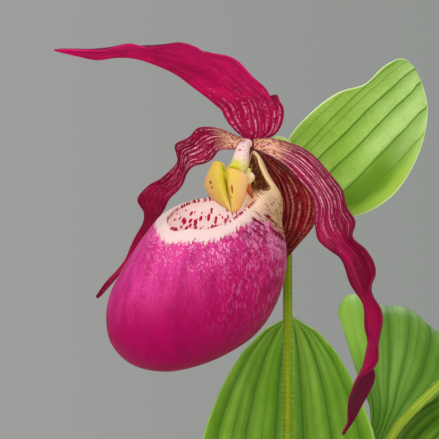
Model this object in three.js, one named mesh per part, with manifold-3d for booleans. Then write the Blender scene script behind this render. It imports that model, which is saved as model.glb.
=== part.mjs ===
// A potted cypripedium orchid with one open flower, in millimetres, +Z up.
// The origin is the centre of the pot's underside. The flower looks towards -X and -Y.

import * as THREE from 'three';
import { mergeVertices } from 'three/addons/utils/BufferGeometryUtils.js';
import Module from 'manifold-3d';

const wasm = await Module();
wasm.setup();

// Driving dimensions: pot and soil
const GAP = 0.3;
const POT_HEIGHT = 112;
const POT_FOOT_RADIUS = 44;
const POT_BODY_RADIUS = 58;
const POT_RIM_RADIUS = 64;
const POT_RIM_TOP_RADIUS = 66;
const POT_RIM_HEIGHT = 20;
const POT_WALL = 5;
const POT_FLOOR = 6;
const POT_EDGE = 1.5;
const POT_SIDES = 32;
const DRAIN_COUNT = 3;
const DRAIN_RADIUS = 6;
const DRAIN_CIRCLE_RADIUS = 24;
const SOIL_TOP = 100;
const STEM_HOLE_DEPTH = 26;
const GRIT_COUNT = 40;
const GRIT_SIZE = 3.2;
const GRIT_SPREAD = 2.4;
const GRIT_RISE = 0.8;
const GRIT_SQUASH = [1.2, 0.9, 0.7];
const GRIT_MARGIN = 8;
const GRIT_SEED = 7;
const HOLE_SIDES = 16;

// Driving dimensions: stems
const STEM_FOOT_RADIUS = 2.3;
const STEM_TOP_RADIUS = 1.5;
const STEM_TOP = 349.2;
const SIDE_STEM_FOOT_RADIUS = 2.4;
const SIDE_STEM_TOP_RADIUS = 1.6;
const STEM_SIDES = 10;
const STEM_STEPS = 18;
const OVARY_RADIUS = 1.5;
const OVARY_SWELL = 0.9;
const OVARY_RIBS = 6;
const OVARY_RIB_DEPTH = 0.06;
const OVARY_STEPS = 14;

// Driving dimensions: blades
const LEAF_THICKNESS = 0.8;
const TEPAL_THICKNESS = 0.8;
const RIPPLE_SHIFT = 1.9;
const SHEATH_HALF_ANGLE = 2.5;
const SHEATH_CLEARANCE = 0.7;
const LEAF_FOLD_DEPTH = 0.5;
const LEAF_RIPPLE = 1.1;
const LEAF_CHANNEL_RADIUS = 70;
// Past its highest point a blade's channel opens flat and then turns over. It is as deep the
// other way round once the blade falls this steeply: a fall of 1 is straight down.
const LEAF_TURNOVER_FALL = 0.5;
const LEAF_ROWS = 14;
const LEAF_COLUMNS = 10;
const MAIN_LEAF_SEED = 1;
const SIDE_LEAF_SEED = 11;

// Driving dimensions: the pouch, whose long axis lies along the flower's forward direction
const POUCH_CENTRE = new THREE.Vector3(-28.5, -28, 327.5);
const POUCH_HALF_DEPTH = 25;
const POUCH_SHEAR = 0.32;
const POUCH_WALL = 1;
const POUCH_CLAW_SHARE = 0.11;
const POUCH_LOWEST = new THREE.Vector3(-0.12, -0.1, -1).normalize();
const POUCH_AROUND = 32;
const POUCH_DOWN = 14;
const POUCH_CROWDING = 1.15;

// The way the flower looks, and up
const FORWARD = new THREE.Vector3(-0.766, -0.643, 0);
const UP = new THREE.Vector3(0, 0, 1);

// Colours
const CLAY = 0xb5714e;
const SOIL = 0x5b4a3a;
const STEM_GREEN = 0x7f8c1e;
const SIDE_STEM_GREEN = 0xa9c060;
const LEAF_GREEN = 0x6ea032;
const BRACT_GREEN = 0x96be5a;
const OVARY_GREEN = 0xa0b858;
const SEPAL_CRIMSON = 0x8c0032;
const SYNSEPAL_MAROON = 0x6e0f23;
const LEFT_PETAL_CRIMSON = 0x8c0a3c;
const RIGHT_PETAL_CRIMSON = 0x9b0f46;
const LIP_MAGENTA = 0xb4146e;
const COLUMN_CREAM = 0xf0dcc8;
const STAMINODE_YELLOW = 0xebcd64;

// Paths of the stems and the ovary, from the foot up
const STEM_PATH = [[-3, 4, 75], [-2.5, 4.5, 140], [-0.5, 5, 210], [0.3, 5, 270], [0.3, 5, STEM_TOP]];
const SIDE_STEM_PATH = [[26, 29, 75], [26.5, 30, 140], [27, 32.5, 205], [29.5, 35, 250],
  [36.6, 37.5, 274.6], [53.5, 43, 292.4], [68, 48, 305]];
const OVARY_PATH = [[0.3, 5, STEM_TOP + 2 * GAP], [1.8, 6, 358], [2, 4.6, 368], [-1, 0.8, 374.8],
  [-6, -5.4, 375.3], [-9.6, -8.5, 374.7]];

// Tepals and bract. Each station is one edge point, the other edge point and how far the middle
// stands behind the line between them.
const DORSAL_SEPAL = [
  [[-12.7, -7.2, 375.6], [-8.9, -11.8, 375.6], 0.2],
  [[-16.5, -5.5, 378.5], [-3.5, -12.5, 378.5], 1],
  [[-20, -6, 382.5], [-1.6, -15.5, 383.5], 2],
  [[-22, -9, 386], [-2.4, -18, 388], 2.5],
  [[-23.7, -12, 387.5], [-5, -19.5, 389.5], 2.5],
  [[-28, -18, 390.5], [-10.5, -25, 395], 2.5],
  [[-32, -23, 393.5], [-16, -29, 400], 2.5],
  [[-36, -28, 396], [-22.5, -33, 402.5], 2],
  [[-41, -33, 398.5], [-28.5, -37, 404], 2],
  [[-48, -38, 400.5], [-36, -41, 405], 1.5],
  [[-55, -42.5, 401], [-45.5, -45, 404.5], 1],
  [[-61, -46, 400.5], [-54, -47.5, 404], 1],
  [[-67, -48.5, 401], [-62.5, -49.5, 403], 0.8],
  [[-74, -50, 402.3], [-74, -50, 403.5], 0],
];
const LEFT_PETAL = [
  [[-12.4, -9.3, 373], [-12.4, -9.3, 376.3], 0],
  [[-16.5, -8, 373], [-17, -8, 377.5], 0.5],
  [[-20.5, -6, 373], [-21.5, -6, 379.5], 1],
  [[-23, -4, 372.5], [-26, -2, 380.5], 1.5],
  [[-24.5, -2, 370], [-30, 0, 380], 1.5],
  [[-27.5, 0, 368.5], [-33, 3, 377], 1.5],
  [[-31, 3, 367.5], [-37, 6, 374.5], 1.5],
  [[-34.5, 6, 363], [-37, 8, 369], 1.5],
  [[-36.5, 8, 359.5], [-41, 11, 364], 1.5],
  [[-39.5, 10, 356], [-46.5, 14, 361.5], 1.5],
  [[-42, 12, 352], [-49.5, 16, 357], 1.5],
  [[-45, 12, 346.5], [-48, 16, 352], 2],
  [[-48.5, 11, 341], [-50, 15, 345], 2],
  [[-52.5, 10, 336], [-53.5, 13, 337.5], 1],
  [[-56.5, 8, 331.5], [-58, 11, 331.5], 0.5],
  [[-60, 8, 327], [-61, 9, 328], 0.5],
  [[-63, 8, 323.6], [-63.6, 8, 324.4], 0],
];
const RIGHT_PETAL = [
  [[-11, -11.2, 376.3], [-11, -11.2, 373], 0],
  [[-6.3, -15, 376.5], [-8.5, -13.8, 372], 0.5],
  [[-0.5, -18.5, 375], [-4, -16, 369.5], 1],
  [[4.5, -21.5, 373], [0, -18.5, 366.5], 1.5],
  [[9.5, -24.5, 369], [3.5, -21, 362.5], 2],
  [[14, -27, 363.5], [6.5, -23.5, 358.5], 2],
  [[17, -29, 359], [8.5, -25, 353.5], 2],
  [[18.5, -31, 354], [8, -26, 348.5], 2],
  [[20.5, -33, 349.5], [9, -27, 344], 2],
  [[20, -34, 345], [13.5, -28, 340], 1.5],
  [[24, -34, 340.5], [16.5, -28, 336.5], 1.5],
  [[27, -34, 333.5], [19.5, -28, 330.5], 1.5],
  [[26, -34, 327.5], [22, -28, 325], 1.5],
  [[28.5, -34, 320.5], [24, -28, 320], 1.5],
  [[29, -35, 314.5], [25, -27, 313.5], 1],
  [[28, -37, 308.5], [25, -25, 309], -1],
  [[26.5, -38, 303.5], [26.5, -22, 304], -2.5],
  [[21.5, -35, 298], [27.5, -22, 300.5], -2],
  [[19, -31, 293], [26, -23, 294.5], -1],
  [[19, -28, 289], [23, -23, 289], -0.5],
  [[17, -24, 281.2], [17.6, -24, 280.4], 0],
];
const SYNSEPAL = [
  [[-9.5, -11, 373.8], [-12.1, -8, 373.8], 0.2],
  [[-3.5, -10, 370], [-13, -4, 369.5], 1],
  [[5.5, -10.5, 363.5], [-13.5, -2, 362.5], 3],
  [[10, -10.5, 355.5], [-14, 1, 355], 4],
  [[8.5, -8.5, 348], [-13.5, 1, 347], 4.2],
  [[3.5, -6, 342], [-12, 1, 340], 3.5],
  [[-2, -3, 335.5], [-9.5, 0.5, 334], 2.5],
  [[-5.5, -1.5, 330.2], [-6.8, -1, 330.2], 0],
];
const BRACT = [
  [[-1.7, 7.6, 349.4], [2.4, 7.2, 349], 0.2],
  [[-2.4, 8.6, 353], [4, 7.4, 350.2], 0.8],
  [[-2.2, 10, 360], [8, 7.5, 351], 1.8],
  [[-2, 10.5, 369], [16, 7, 350.5], 3],
  [[1, 10.5, 377.5], [26, 7, 352], 4],
  [[8.5, 11.5, 386], [35, 8, 357.5], 4.5],
  [[17.5, 12.5, 392.5], [41.5, 10, 366], 4],
  [[26.5, 13, 395.5], [46, 12, 376.5], 3],
  [[33, 13.5, 401.5], [47.5, 13.5, 387.5], 2],
  [[39, 14, 404], [46, 14, 394.5], 1],
  [[42.5, 14.5, 401.8], [43.6, 14.5, 400.6], 0],
];

// The bract and the tepals: their rows and columns, the height and number of their edge ripples
const BLADES = [
  { name: 'bract', stations: BRACT, rows: 18, columns: 6, ripple: 0.4, waves: 3,
    colour: BRACT_GREEN },
  { name: 'dorsal_sepal', stations: DORSAL_SEPAL, rows: 30, columns: 6, ripple: 0.7, waves: 6,
    colour: SEPAL_CRIMSON },
  { name: 'synsepal', stations: SYNSEPAL, rows: 14, columns: 8, ripple: 0.4, waves: 3,
    colour: SYNSEPAL_MAROON },
  { name: 'petal_left', stations: LEFT_PETAL, rows: 32, columns: 6, ripple: 0.7, waves: 7,
    colour: LEFT_PETAL_CRIMSON },
  { name: 'petal_right', stations: RIGHT_PETAL, rows: 38, columns: 6, ripple: 0.7, waves: 8,
    colour: RIGHT_PETAL_CRIMSON },
];

// The pouch seen from the front, from its centre: across and up
const POUCH_OUTLINE = [[-11, 25.5], [-18, 17], [-23.2, 9], [-28.3, -0.5], [-29.7, -9], [-28, -17],
  [-21.7, -23.5], [-11.5, -26], [-1, -24.4], [9, -20.4], [17.7, -14.6], [23.7, -6.5], [27.6, 5],
  [28, 12], [26, 23.5], [25, 29], [22, 35], [14, 36], [3, 33], [-4, 30.5]];

// The pouch's rim, once round from the claw behind the column: near side lobe, front, far side
const POUCH_RIM = [[-11.3, -10.6, 372.5], [-9.5, -12.6, 371], [-8.8, -14.5, 368.3],
  [-7.2, -16.5, 364.6], [-5.3, -19.5, 361.5], [-6.2, -26, 359.4], [-9.5, -33, 358.6],
  [-12.4, -38, 355.2], [-15.2, -41.5, 352.7], [-20.5, -45.5, 349], [-26, -47.5, 347],
  [-31.5, -48, 347], [-37, -47, 346.5], [-39, -42, 349.8], [-38, -33.5, 351.7],
  [-35.9, -27, 353.7], [-31, -21.5, 356.2], [-25.7, -17, 357.3], [-20.5, -13.5, 359.3],
  [-16.3, -10, 361.6], [-14, -8.4, 366], [-12.4, -9.2, 370.8]];

// Column and staminode
const COLUMN_RADIUS = 1.5;
const COLUMN_SWELL = 1;
const COLUMN_STEPS = 8;
const COLUMN_SIDES = 12;
const COLUMN_PATH = [[-12.7, -11.1, 375], [-14.1, -12.7, 374.1], [-15.2, -16, 370.6],
  [-16, -20, 367.2], [-17.4, -23.2, 365]];
const ANTHERS = [[-12.6, -18.8, 364.8], [-16, -15.6, 365.4]];
const ANTHER_RADIUS = 1.8;
const STIGMA_PATH = [[-14.2, -18.6, 366], [-13.4, -20, 361.5], [-11.6, -21.2, 356.8]];
const STIGMA_ROOT_RADIUS = 2.2;
const STIGMA_TIP_RADIUS = 0.4;
const STAMINODE_TOP = new THREE.Vector3(-20.6, -24, 365.4);
const STAMINODE_TIP = new THREE.Vector3(-17.9, -27.4, 352);
const STAMINODE_ACROSS = new THREE.Vector3(0.86, -0.51, 0).normalize();
const STAMINODE_HALF_WIDTH = 8.2;
const STAMINODE_TOP_TURN = 0.3;
const STAMINODE_TAPER = 1.13;
const STAMINODE_ROUNDNESS = 0.85;
const STAMINODE_BULGE = 2.6;
const STAMINODE_GROOVE = 1.7;
const STAMINODE_EARS = [4.2, 1.6];
const STAMINODE_EAR_LEAN = 0.75;
const STAMINODE_CLEFT_SHARE = 0.2;
const STAMINODE_SAG = 1.6;
const STAMINODE_ROWS = 11;
const STAMINODE_SIDES = 24;

// Leaves: the height of the sheath's foot on its stem and the way the leaf points (degrees from
// +X), then stations of distance out from the stem, distance up along it, half width and shift
// to the side.
const MAIN_LEAVES = [
  { name: 'leaf_1', height: 112, points: 205, sheath: 14,
    stations: [[9, 26, 9, 0], [27, 52, 21, 0], [56, 74, 27, 0], [88, 78, 22, 0], [112, 66, 9, 0],
      [121, 56, 0.5, 0]] },
  { name: 'leaf_2', height: 142, points: 318, sheath: 14,
    stations: [[8, 28, 9, 0], [24, 56, 23, 0], [52, 82, 29, 0], [85, 92, 24, 0], [110, 84, 11, 0],
      [122, 74, 0.5, 0]] },
  { name: 'leaf_3', height: 176, points: 148, sheath: 14,
    stations: [[7, 26, 9, 0], [21, 50, 22, 0], [48, 74, 27, 0], [80, 82, 21, 0], [104, 74, 9, 0],
      [114, 66, 0.5, 0]] },
  { name: 'leaf_4', height: 206, points: 90, sheath: 12,
    stations: [[5, 22, 12, 0], [10, 40, 26, 0], [14, 58, 31.5, 0], [18, 72, 29, 0],
      [21, 86, 23.5, 0], [24, 98, 16.5, 0], [26, 106, 9, 0], [27, 111, 0.5, 0]] },
];
const SIDE_LEAVES = [
  { name: 'side_leaf_1', height: 110, points: 338, sheath: 14,
    stations: [[8, 26, 9, 0], [24, 50, 20, 0], [50, 68, 25, 0], [78, 70, 19, 0], [98, 60, 8, 0],
      [106, 52, 0.5, 0]] },
  { name: 'side_leaf_2', height: 186, points: 30, sheath: 14,
    stations: [[7, 28, 9, 0], [18, 58, 20, 0], [36, 84, 26, 0], [58, 98, 21, 0], [78, 100, 9, 0],
      [86, 97, 0.5, 0]] },
  { name: 'side_leaf_3', height: 222, points: 100, sheath: 10,
    stations: [[6, 26, 6.5, 0], [9, 42, 5, 1], [11, 54, 4.5, 3], [13, 63, 9, 6], [15.5, 71, 14, 9],
      [19, 84, 20.5, 13], [30, 97, 23.5, 17], [51, 98, 20, 20], [68, 90, 10, 22],
      [75, 84, 0.5, 23]] },
  { name: 'side_leaf_4', height: 298, points: 110, sheath: 8,
    stations: [[4, 20, 6.5, 0], [6, 32, 9, 0], [8, 46, 8, 0], [11, 60, 3.5, 0],
      [13, 66, 0.5, 0]] },
];

// A seeded random number between 0 and 1, one after another.
function randomFrom(seed) {
  let state = seed;
  return () => {
    state = (state * 1664525 + 1013904223) % 4294967296;
    return state / 4294967296;
  };
}

function vector(point) {
  return new THREE.Vector3(...point);
}

function curveThrough(points) {
  return new THREE.CatmullRomCurve3(points.map(vector));
}

function smoothStep(value) {
  const x = Math.min(Math.max(value, 0), 1);
  return x * x * (3 - 2 * x);
}

function geometryFrom(points, triangles) {
  const geometry = new THREE.BufferGeometry();
  geometry.setAttribute('position',
    new THREE.Float32BufferAttribute(points.flatMap((point) => point.toArray()), 3));
  geometry.setIndex(triangles.flat());
  if (volumeOf(geometry) < 0) {
    geometry.setIndex(triangles.map(([a, b, c]) => [a, c, b]).flat());
  }
  return geometry;
}

function volumeOf(geometry) {
  const position = geometry.getAttribute('position');
  const index = geometry.getIndex();
  const corner = [0, 1, 2].map(() => new THREE.Vector3());
  let sum = 0;
  for (let i = 0; i < index.count; i += 3) {
    corner.forEach((point, k) => point.fromBufferAttribute(position, index.getX(i + k)));
    sum += corner[0].dot(corner[1].clone().cross(corner[2]));
  }
  return sum / 6;
}

// A closed sheet of even thickness round a middle surface. middle(t, s) runs from the foot (t = 0)
// to the tip (t = 1) and from one edge (s = -1) to the other. Both faces are split alike.
function sheetGeometry(middle, rows, columns, thickness) {
  const step = 1e-3;
  const front = [];
  const back = [];
  for (let i = 0; i <= rows; i += 1) {
    for (let j = 0; j <= columns; j += 1) {
      const t = i / rows;
      const s = 2 * j / columns - 1;
      const along = middle(Math.min(t + step, 1), s).sub(middle(Math.max(t - step, 0), s));
      const across = middle(t, Math.min(s + step, 1)).sub(middle(t, Math.max(s - step, -1)));
      const normal = along.cross(across).normalize().multiplyScalar(thickness / 2);
      front.push(middle(t, s).add(normal));
      back.push(middle(t, s).sub(normal));
    }
  }
  const count = front.length;
  const at = (i, j) => i * (columns + 1) + j;
  const triangles = [];
  for (let i = 0; i < rows; i += 1) {
    for (let j = 0; j < columns; j += 1) {
      const split = [
        [at(i, j), at(i + 1, j), at(i + 1, j + 1)],
        [at(i, j), at(i + 1, j + 1), at(i, j + 1)],
      ];
      split.forEach(([a, b, c]) => {
        triangles.push([a, b, c], [a + count, c + count, b + count]);
      });
    }
  }
  const wall = (p, q) => triangles.push([q, p, p + count], [q, p + count, q + count]);
  for (let j = 0; j < columns; j += 1) {
    wall(at(0, j + 1), at(0, j));
    wall(at(rows, j), at(rows, j + 1));
  }
  for (let i = 0; i < rows; i += 1) {
    wall(at(i, 0), at(i + 1, 0));
    wall(at(i + 1, columns), at(i, columns));
  }
  return geometryFrom([...front, ...back], triangles);
}

// A solid through rings of points, closed by a fan at both ends. A banded one is flat: its front
// and back halves are split alike and its ends are closed by a band from front to back.
function ringGeometry(rings, banded = false) {
  const sides = rings[0].length;
  const points = rings.flat();
  const triangles = [];
  rings.slice(1).forEach((ring, i) => {
    for (let j = 0; j < sides; j += 1) {
      const a = i * sides + j;
      const b = i * sides + (j + 1) % sides;
      if (banded && j >= sides / 2) triangles.push([a, b, a + sides], [b, b + sides, a + sides]);
      else triangles.push([a, b, b + sides], [a, b + sides, a + sides]);
    }
  });
  const last = (rings.length - 1) * sides;
  if (banded) {
    for (let j = 0; j < sides / 2; j += 1) {
      const [far, farNext] = [(sides - j) % sides, sides - j - 1];
      if (far !== j) triangles.push([j + 1, j, far], [last + j, last + j + 1, last + far]);
      if (farNext !== j + 1) {
        triangles.push([j + 1, far, farNext], [last + j + 1, last + farNext, last + far]);
      }
    }
    return geometryFrom(points, triangles);
  }
  const middleOf = (ring) => ring.reduce((sum, point) => sum.add(point), new THREE.Vector3())
    .divideScalar(sides);
  points.push(middleOf(rings[0]), middleOf(rings[rings.length - 1]));
  for (let j = 0; j < sides; j += 1) {
    const next = (j + 1) % sides;
    triangles.push([next, j, points.length - 2], [last + j, last + next, points.length - 1]);
  }
  return geometryFrom(points, triangles);
}

// A round rod along a curve. radiusAt(t, angle) gives its radius.
function rodGeometry(curve, radiusAt, steps, sides) {
  const frames = curve.computeFrenetFrames(steps, false);
  const rings = [];
  for (let i = 0; i <= steps; i += 1) {
    const t = i / steps;
    const centre = curve.getPointAt(t);
    const ring = [];
    for (let j = 0; j < sides; j += 1) {
      const angle = 2 * Math.PI * j / sides;
      const radius = radiusAt(t, angle);
      ring.push(centre.clone()
        .addScaledVector(frames.normals[i], radius * Math.cos(angle))
        .addScaledVector(frames.binormals[i], radius * Math.sin(angle)));
    }
    rings.push(ring);
  }
  return ringGeometry(rings);
}

function manifoldOf(geometry) {
  const bare = geometry.clone();
  bare.deleteAttribute('normal');
  bare.deleteAttribute('uv');
  const merged = mergeVertices(bare, 1e-4);
  return new wasm.Manifold(new wasm.Mesh({
    numProp: 3,
    vertProperties: new Float32Array(merged.getAttribute('position').array),
    triVerts: new Uint32Array(merged.getIndex().array),
  }));
}

function geometryOf(solid) {
  const mesh = solid.getMesh();
  const geometry = new THREE.BufferGeometry();
  const positions = new Float32Array(mesh.vertProperties);
  geometry.setAttribute('position', new THREE.BufferAttribute(positions, 3));
  geometry.setIndex(new THREE.BufferAttribute(new Uint32Array(mesh.triVerts), 1));
  return geometry;
}

// A solid of revolution from its profile of radius and height.
function turnedSolid(profile) {
  const points = profile.map(([radius, height]) => new THREE.Vector2(radius, height));
  const body = new THREE.LatheGeometry(points, POT_SIDES);
  body.rotateX(Math.PI / 2);
  return manifoldOf(body);
}

// An upright round drill, centred on a point.
function drillAt(x, y, z, radius, length) {
  const drill = new THREE.CylinderGeometry(radius, radius, length, HOLE_SIDES);
  drill.rotateX(Math.PI / 2);
  drill.translate(x, y, z);
  return manifoldOf(drill);
}

// A plain clay pot with a thick rim band and drain holes off its middle.
function potGeometry() {
  const band = POT_HEIGHT - POT_RIM_HEIGHT;
  const mouth = POT_HEIGHT - POT_EDGE;
  let solid = turnedSolid([
    [0, 0],
    [POT_FOOT_RADIUS - POT_EDGE, 0],
    [POT_FOOT_RADIUS, POT_EDGE],
    [POT_BODY_RADIUS, band],
    [POT_RIM_RADIUS, band],
    [POT_RIM_TOP_RADIUS, mouth],
    [POT_RIM_TOP_RADIUS - POT_EDGE, POT_HEIGHT],
    [potInnerRadius(POT_HEIGHT) + POT_EDGE, POT_HEIGHT],
    [potInnerRadius(mouth), mouth],
    [potInnerRadius(POT_FLOOR), POT_FLOOR],
    [0, POT_FLOOR],
  ]);
  for (let k = 0; k < DRAIN_COUNT; k += 1) {
    const angle = Math.PI / 2 + k * 2 * Math.PI / DRAIN_COUNT;
    const x = DRAIN_CIRCLE_RADIUS * Math.cos(angle);
    const y = DRAIN_CIRCLE_RADIUS * Math.sin(angle);
    solid = solid.subtract(drillAt(x, y, 0, DRAIN_RADIUS, 3 * POT_FLOOR));
  }
  return geometryOf(solid);
}

function potInnerRadius(height) {
  const slope = (POT_BODY_RADIUS - POT_FOOT_RADIUS) / (POT_HEIGHT - POT_RIM_HEIGHT);
  return POT_FOOT_RADIUS - POT_WALL + slope * height;
}

// Potting mix that fills the pot, with grit on top and a plain hole for each stem.
function substrateGeometry() {
  const floor = POT_FLOOR + GAP;
  let solid = turnedSolid([
    [0, floor],
    [potInnerRadius(floor) - GAP, floor],
    [potInnerRadius(SOIL_TOP) - GAP, SOIL_TOP],
    [0, SOIL_TOP],
  ]);
  const random = randomFrom(GRIT_SEED);
  const goldenAngle = Math.PI * (3 - Math.sqrt(5));
  for (let k = 0; k < GRIT_COUNT; k += 1) {
    const size = GRIT_SIZE + GRIT_SPREAD * random();
    const reach = (potInnerRadius(SOIL_TOP) - GRIT_MARGIN) * Math.sqrt((k + 0.5) / GRIT_COUNT);
    const grit = new THREE.IcosahedronGeometry(size, 0);
    grit.rotateX(Math.PI * random());
    grit.rotateY(Math.PI * random());
    grit.scale(...GRIT_SQUASH);
    grit.rotateZ(2 * Math.PI * random());
    const x = reach * Math.cos(goldenAngle * k);
    const y = reach * Math.sin(goldenAngle * k);
    grit.translate(x, y, SOIL_TOP + GRIT_RISE * random());
    solid = solid.add(manifoldOf(grit));
  }
  const feet = [
    [STEM_PATH[0], STEM_FOOT_RADIUS],
    [SIDE_STEM_PATH[0], SIDE_STEM_FOOT_RADIUS],
  ];
  feet.forEach(([[x, y, z], radius]) => {
    const middle = z - GAP + STEM_HOLE_DEPTH;
    solid = solid.subtract(drillAt(x, y, middle, radius + 2 * GAP, 2 * STEM_HOLE_DEPTH));
  });
  return geometryOf(solid);
}

// A stem's middle line and its radius, which tapers from foot to top.
function makeStem(path, footRadius, topRadius) {
  const radiusAt = (t) => footRadius + (topRadius - footRadius) * t;
  return { curve: curveThrough(path), radiusAt };
}

// The ovary swells in its middle and has low ribs.
function ovaryGeometry() {
  const radiusAt = (t, angle) => {
    const swell = Math.sin(Math.PI * Math.min(t * 1.1 + 0.05, 1));
    const rib = 1 + OVARY_RIB_DEPTH * Math.cos(OVARY_RIBS * angle);
    return (OVARY_RADIUS + OVARY_SWELL * swell) * rib;
  };
  return rodGeometry(curveThrough(OVARY_PATH), radiusAt, OVARY_STEPS, 2 * OVARY_RIBS);
}

// A tepal or bract through its stations, with a cupped middle and rippled edges.
function tepalGeometry({ stations, rows, columns, ripple, waves }) {
  const one = curveThrough(stations.map((station) => station[0]));
  const other = curveThrough(stations.map((station) => station[1]));
  const cups = curveThrough(stations.map((station) => [station[2], 0, 0]));
  const flat = (t, s) => one.getPoint(t).lerp(other.getPoint(t), (s + 1) / 2);
  const backOf = (t) => {
    const along = flat(Math.min(t + 0.01, 1), 0).sub(flat(Math.max(t - 0.01, 0), 0));
    return along.cross(flat(t, 1).sub(flat(t, -1))).normalize();
  };
  const middle = (t, s) => {
    const fade = Math.sin(Math.PI * Math.min(Math.max(t, 0), 1));
    const turn = 2 * Math.PI * waves * t + (s > 0 ? RIPPLE_SHIFT : 0);
    const wave = ripple * fade * Math.abs(s) ** 3 * Math.sin(turn);
    return flat(t, s).addScaledVector(backOf(t), cups.getPoint(t).x * (1 - s * s) + wave);
  };
  return sheetGeometry(middle, rows, columns, TEPAL_THICKNESS);
}

// The place, direction and radius of a stem at a height.
function stemAt(stem, height) {
  let low = 0;
  let high = 1;
  for (let k = 0; k < 30; k += 1) {
    const middle = (low + high) / 2;
    if (stem.curve.getPointAt(middle).z < height) low = middle;
    else high = middle;
  }
  const point = stem.curve.getPointAt(low);
  const rise = stem.curve.getTangentAt(low);
  return { point, rise, radius: stem.radiusAt(low) };
}

// A pleated leaf whose foot wraps its stem as a sheath.
function leafGeometry({ height, points, sheath, stations }, stem, seed) {
  const { point, rise, radius } = stemAt(stem, height);
  const angle = THREE.MathUtils.degToRad(points);
  const heading = new THREE.Vector3(Math.cos(angle), Math.sin(angle), 0);
  const across = rise.clone().cross(heading).normalize();
  const away = across.clone().cross(rise);
  const wrap = radius + SHEATH_CLEARANCE + LEAF_THICKNESS / 2;
  const wrapped = SHEATH_HALF_ANGLE * wrap;
  const rows = [[wrap, 0, wrapped, 0], [wrap, sheath, wrapped * 0.94, 0], ...stations];
  const spine = new THREE.CatmullRomCurve3(rows.map(([out, up, , shift]) => point.clone()
    .addScaledVector(away, out).addScaledVector(rise, up).addScaledVector(across, -shift)));
  const widths = curveThrough(rows.map((row) => [row[2], 0, 0]));
  const bendOf = (row, i) => {
    if (i < 2) return 1 / wrap;
    return i === 2 ? 0.9 / row[2] : 1 / LEAF_CHANNEL_RADIUS;
  };
  const bends = curveThrough(rows.map((row, i) => [bendOf(row, i), 0, 0]));
  const phase = 6 * randomFrom(seed)();
  const middle = (t, s) => {
    const inward = spine.getTangent(t).cross(across).normalize();
    const hollow = 1 - 2 * smoothStep(inward.dot(away) / LEAF_TURNOVER_FALL);
    const bend = bends.getPoint(t).x;
    const turn = bend * widths.getPoint(t).x * s;
    const grown = smoothStep((t - 0.3) / 0.2) * smoothStep((1 - t) / 0.3);
    const fold = LEAF_FOLD_DEPTH * grown * Math.cos(Math.PI * LEAF_COLUMNS * (s + 1) / 2);
    const wave = LEAF_RIPPLE * grown * Math.abs(s) ** 3 * Math.sin(17 * t + phase + 2 * s);
    return spine.getPoint(t)
      .addScaledVector(across, Math.sin(turn) / bend)
      .addScaledVector(inward, (hollow * (1 - Math.cos(turn))) / bend + fold + wave);
  };
  return sheetGeometry(middle, LEAF_ROWS, LEAF_COLUMNS, LEAF_THICKNESS);
}

// How far the pouch's skin lies from its centre in a direction: its front outline, made as deep
// as the pouch and sheared so that the long axis points forward.
const outlinePoints = POUCH_OUTLINE.map(([x, z]) => new THREE.Vector3(x, 0, z));
const pouchOutline = new THREE.CatmullRomCurve3(outlinePoints, true)
  .getSpacedPoints(180)
  .map((point) => [Math.atan2(point.z, point.x), Math.hypot(point.x, point.z)])
  .sort((a, b) => a[0] - b[0]);

function pouchRadius(direction) {
  const heading = Math.atan2(direction.z, direction.x);
  const next = pouchOutline.findIndex(([angle]) => angle >= heading);
  const upper = pouchOutline[Math.max(next, 0)];
  const lower = pouchOutline[(Math.max(next, 0) + pouchOutline.length - 1) % pouchOutline.length];
  const span = (upper[0] - lower[0] + 2 * Math.PI) % (2 * Math.PI);
  const share = span > 0 ? ((heading - lower[0] + 2 * Math.PI) % (2 * Math.PI)) / span : 0;
  const reach = lower[1] + (upper[1] - lower[1]) * share;
  const depth = direction.y - POUCH_SHEAR * direction.x;
  return 1 / Math.hypot(Math.hypot(direction.x, direction.z) / reach, depth / POUCH_HALF_DEPTH);
}

// The pouch: a thin shell from the rim down to its lowest point, open at the mouth.
function pouchGeometry() {
  const around = POUCH_AROUND;
  const down = POUCH_DOWN;
  const rim = new THREE.CatmullRomCurve3(POUCH_RIM.map(vector), true);
  const skin = (u, v) => {
    const start = rim.getPointAt(((u % 1) + 1) % 1).sub(POUCH_CENTRE);
    const reach = start.length();
    const direction = start.normalize();
    const angle = direction.angleTo(POUCH_LOWEST);
    const axis = direction.clone().cross(POUCH_LOWEST).normalize();
    direction.applyAxisAngle(axis, angle * v);
    const held = 1 - smoothStep(v / POUCH_CLAW_SHARE);
    const radius = pouchRadius(direction) * (1 - held) + reach * held;
    return direction.multiplyScalar(radius).add(POUCH_CENTRE);
  };
  const outer = [];
  const inner = [];
  for (let i = 0; i < down; i += 1) {
    const v = (i / down) ** POUCH_CROWDING;
    for (let j = 0; j < around; j += 1) {
      const u = j / around;
      const along = skin(u, v + 0.01).sub(skin(u, Math.max(v - 0.01, 0)));
      const across = skin(u + 0.005, v).sub(skin(u - 0.005, v));
      const inward = along.cross(across).normalize();
      const point = skin(u, v);
      if (inward.dot(POUCH_CENTRE.clone().sub(point)) < 0) inward.negate();
      outer.push(point);
      inner.push(point.clone().addScaledVector(inward, POUCH_WALL));
    }
  }
  const bottom = skin(0, 1);
  outer.push(bottom);
  inner.push(bottom.clone().addScaledVector(POUCH_LOWEST, -POUCH_WALL));
  const count = outer.length;
  const triangles = [];
  for (let i = 0; i < down; i += 1) {
    for (let j = 0; j < around; j += 1) {
      const a = i * around + j;
      const b = i * around + (j + 1) % around;
      const c = i === down - 1 ? count - 1 : b + around;
      const d = i === down - 1 ? count - 1 : a + around;
      const split = i === down - 1 ? [[a, b, c]] : [[a, b, c], [a, c, d]];
      split.forEach(([p, q, r]) => {
        triangles.push([p, q, r], [p + count, r + count, q + count]);
      });
      if (i === 0) triangles.push([b, a, a + count], [b, a + count, b + count]);
    }
  }
  return geometryFrom([...outer, ...inner], triangles);
}

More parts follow.
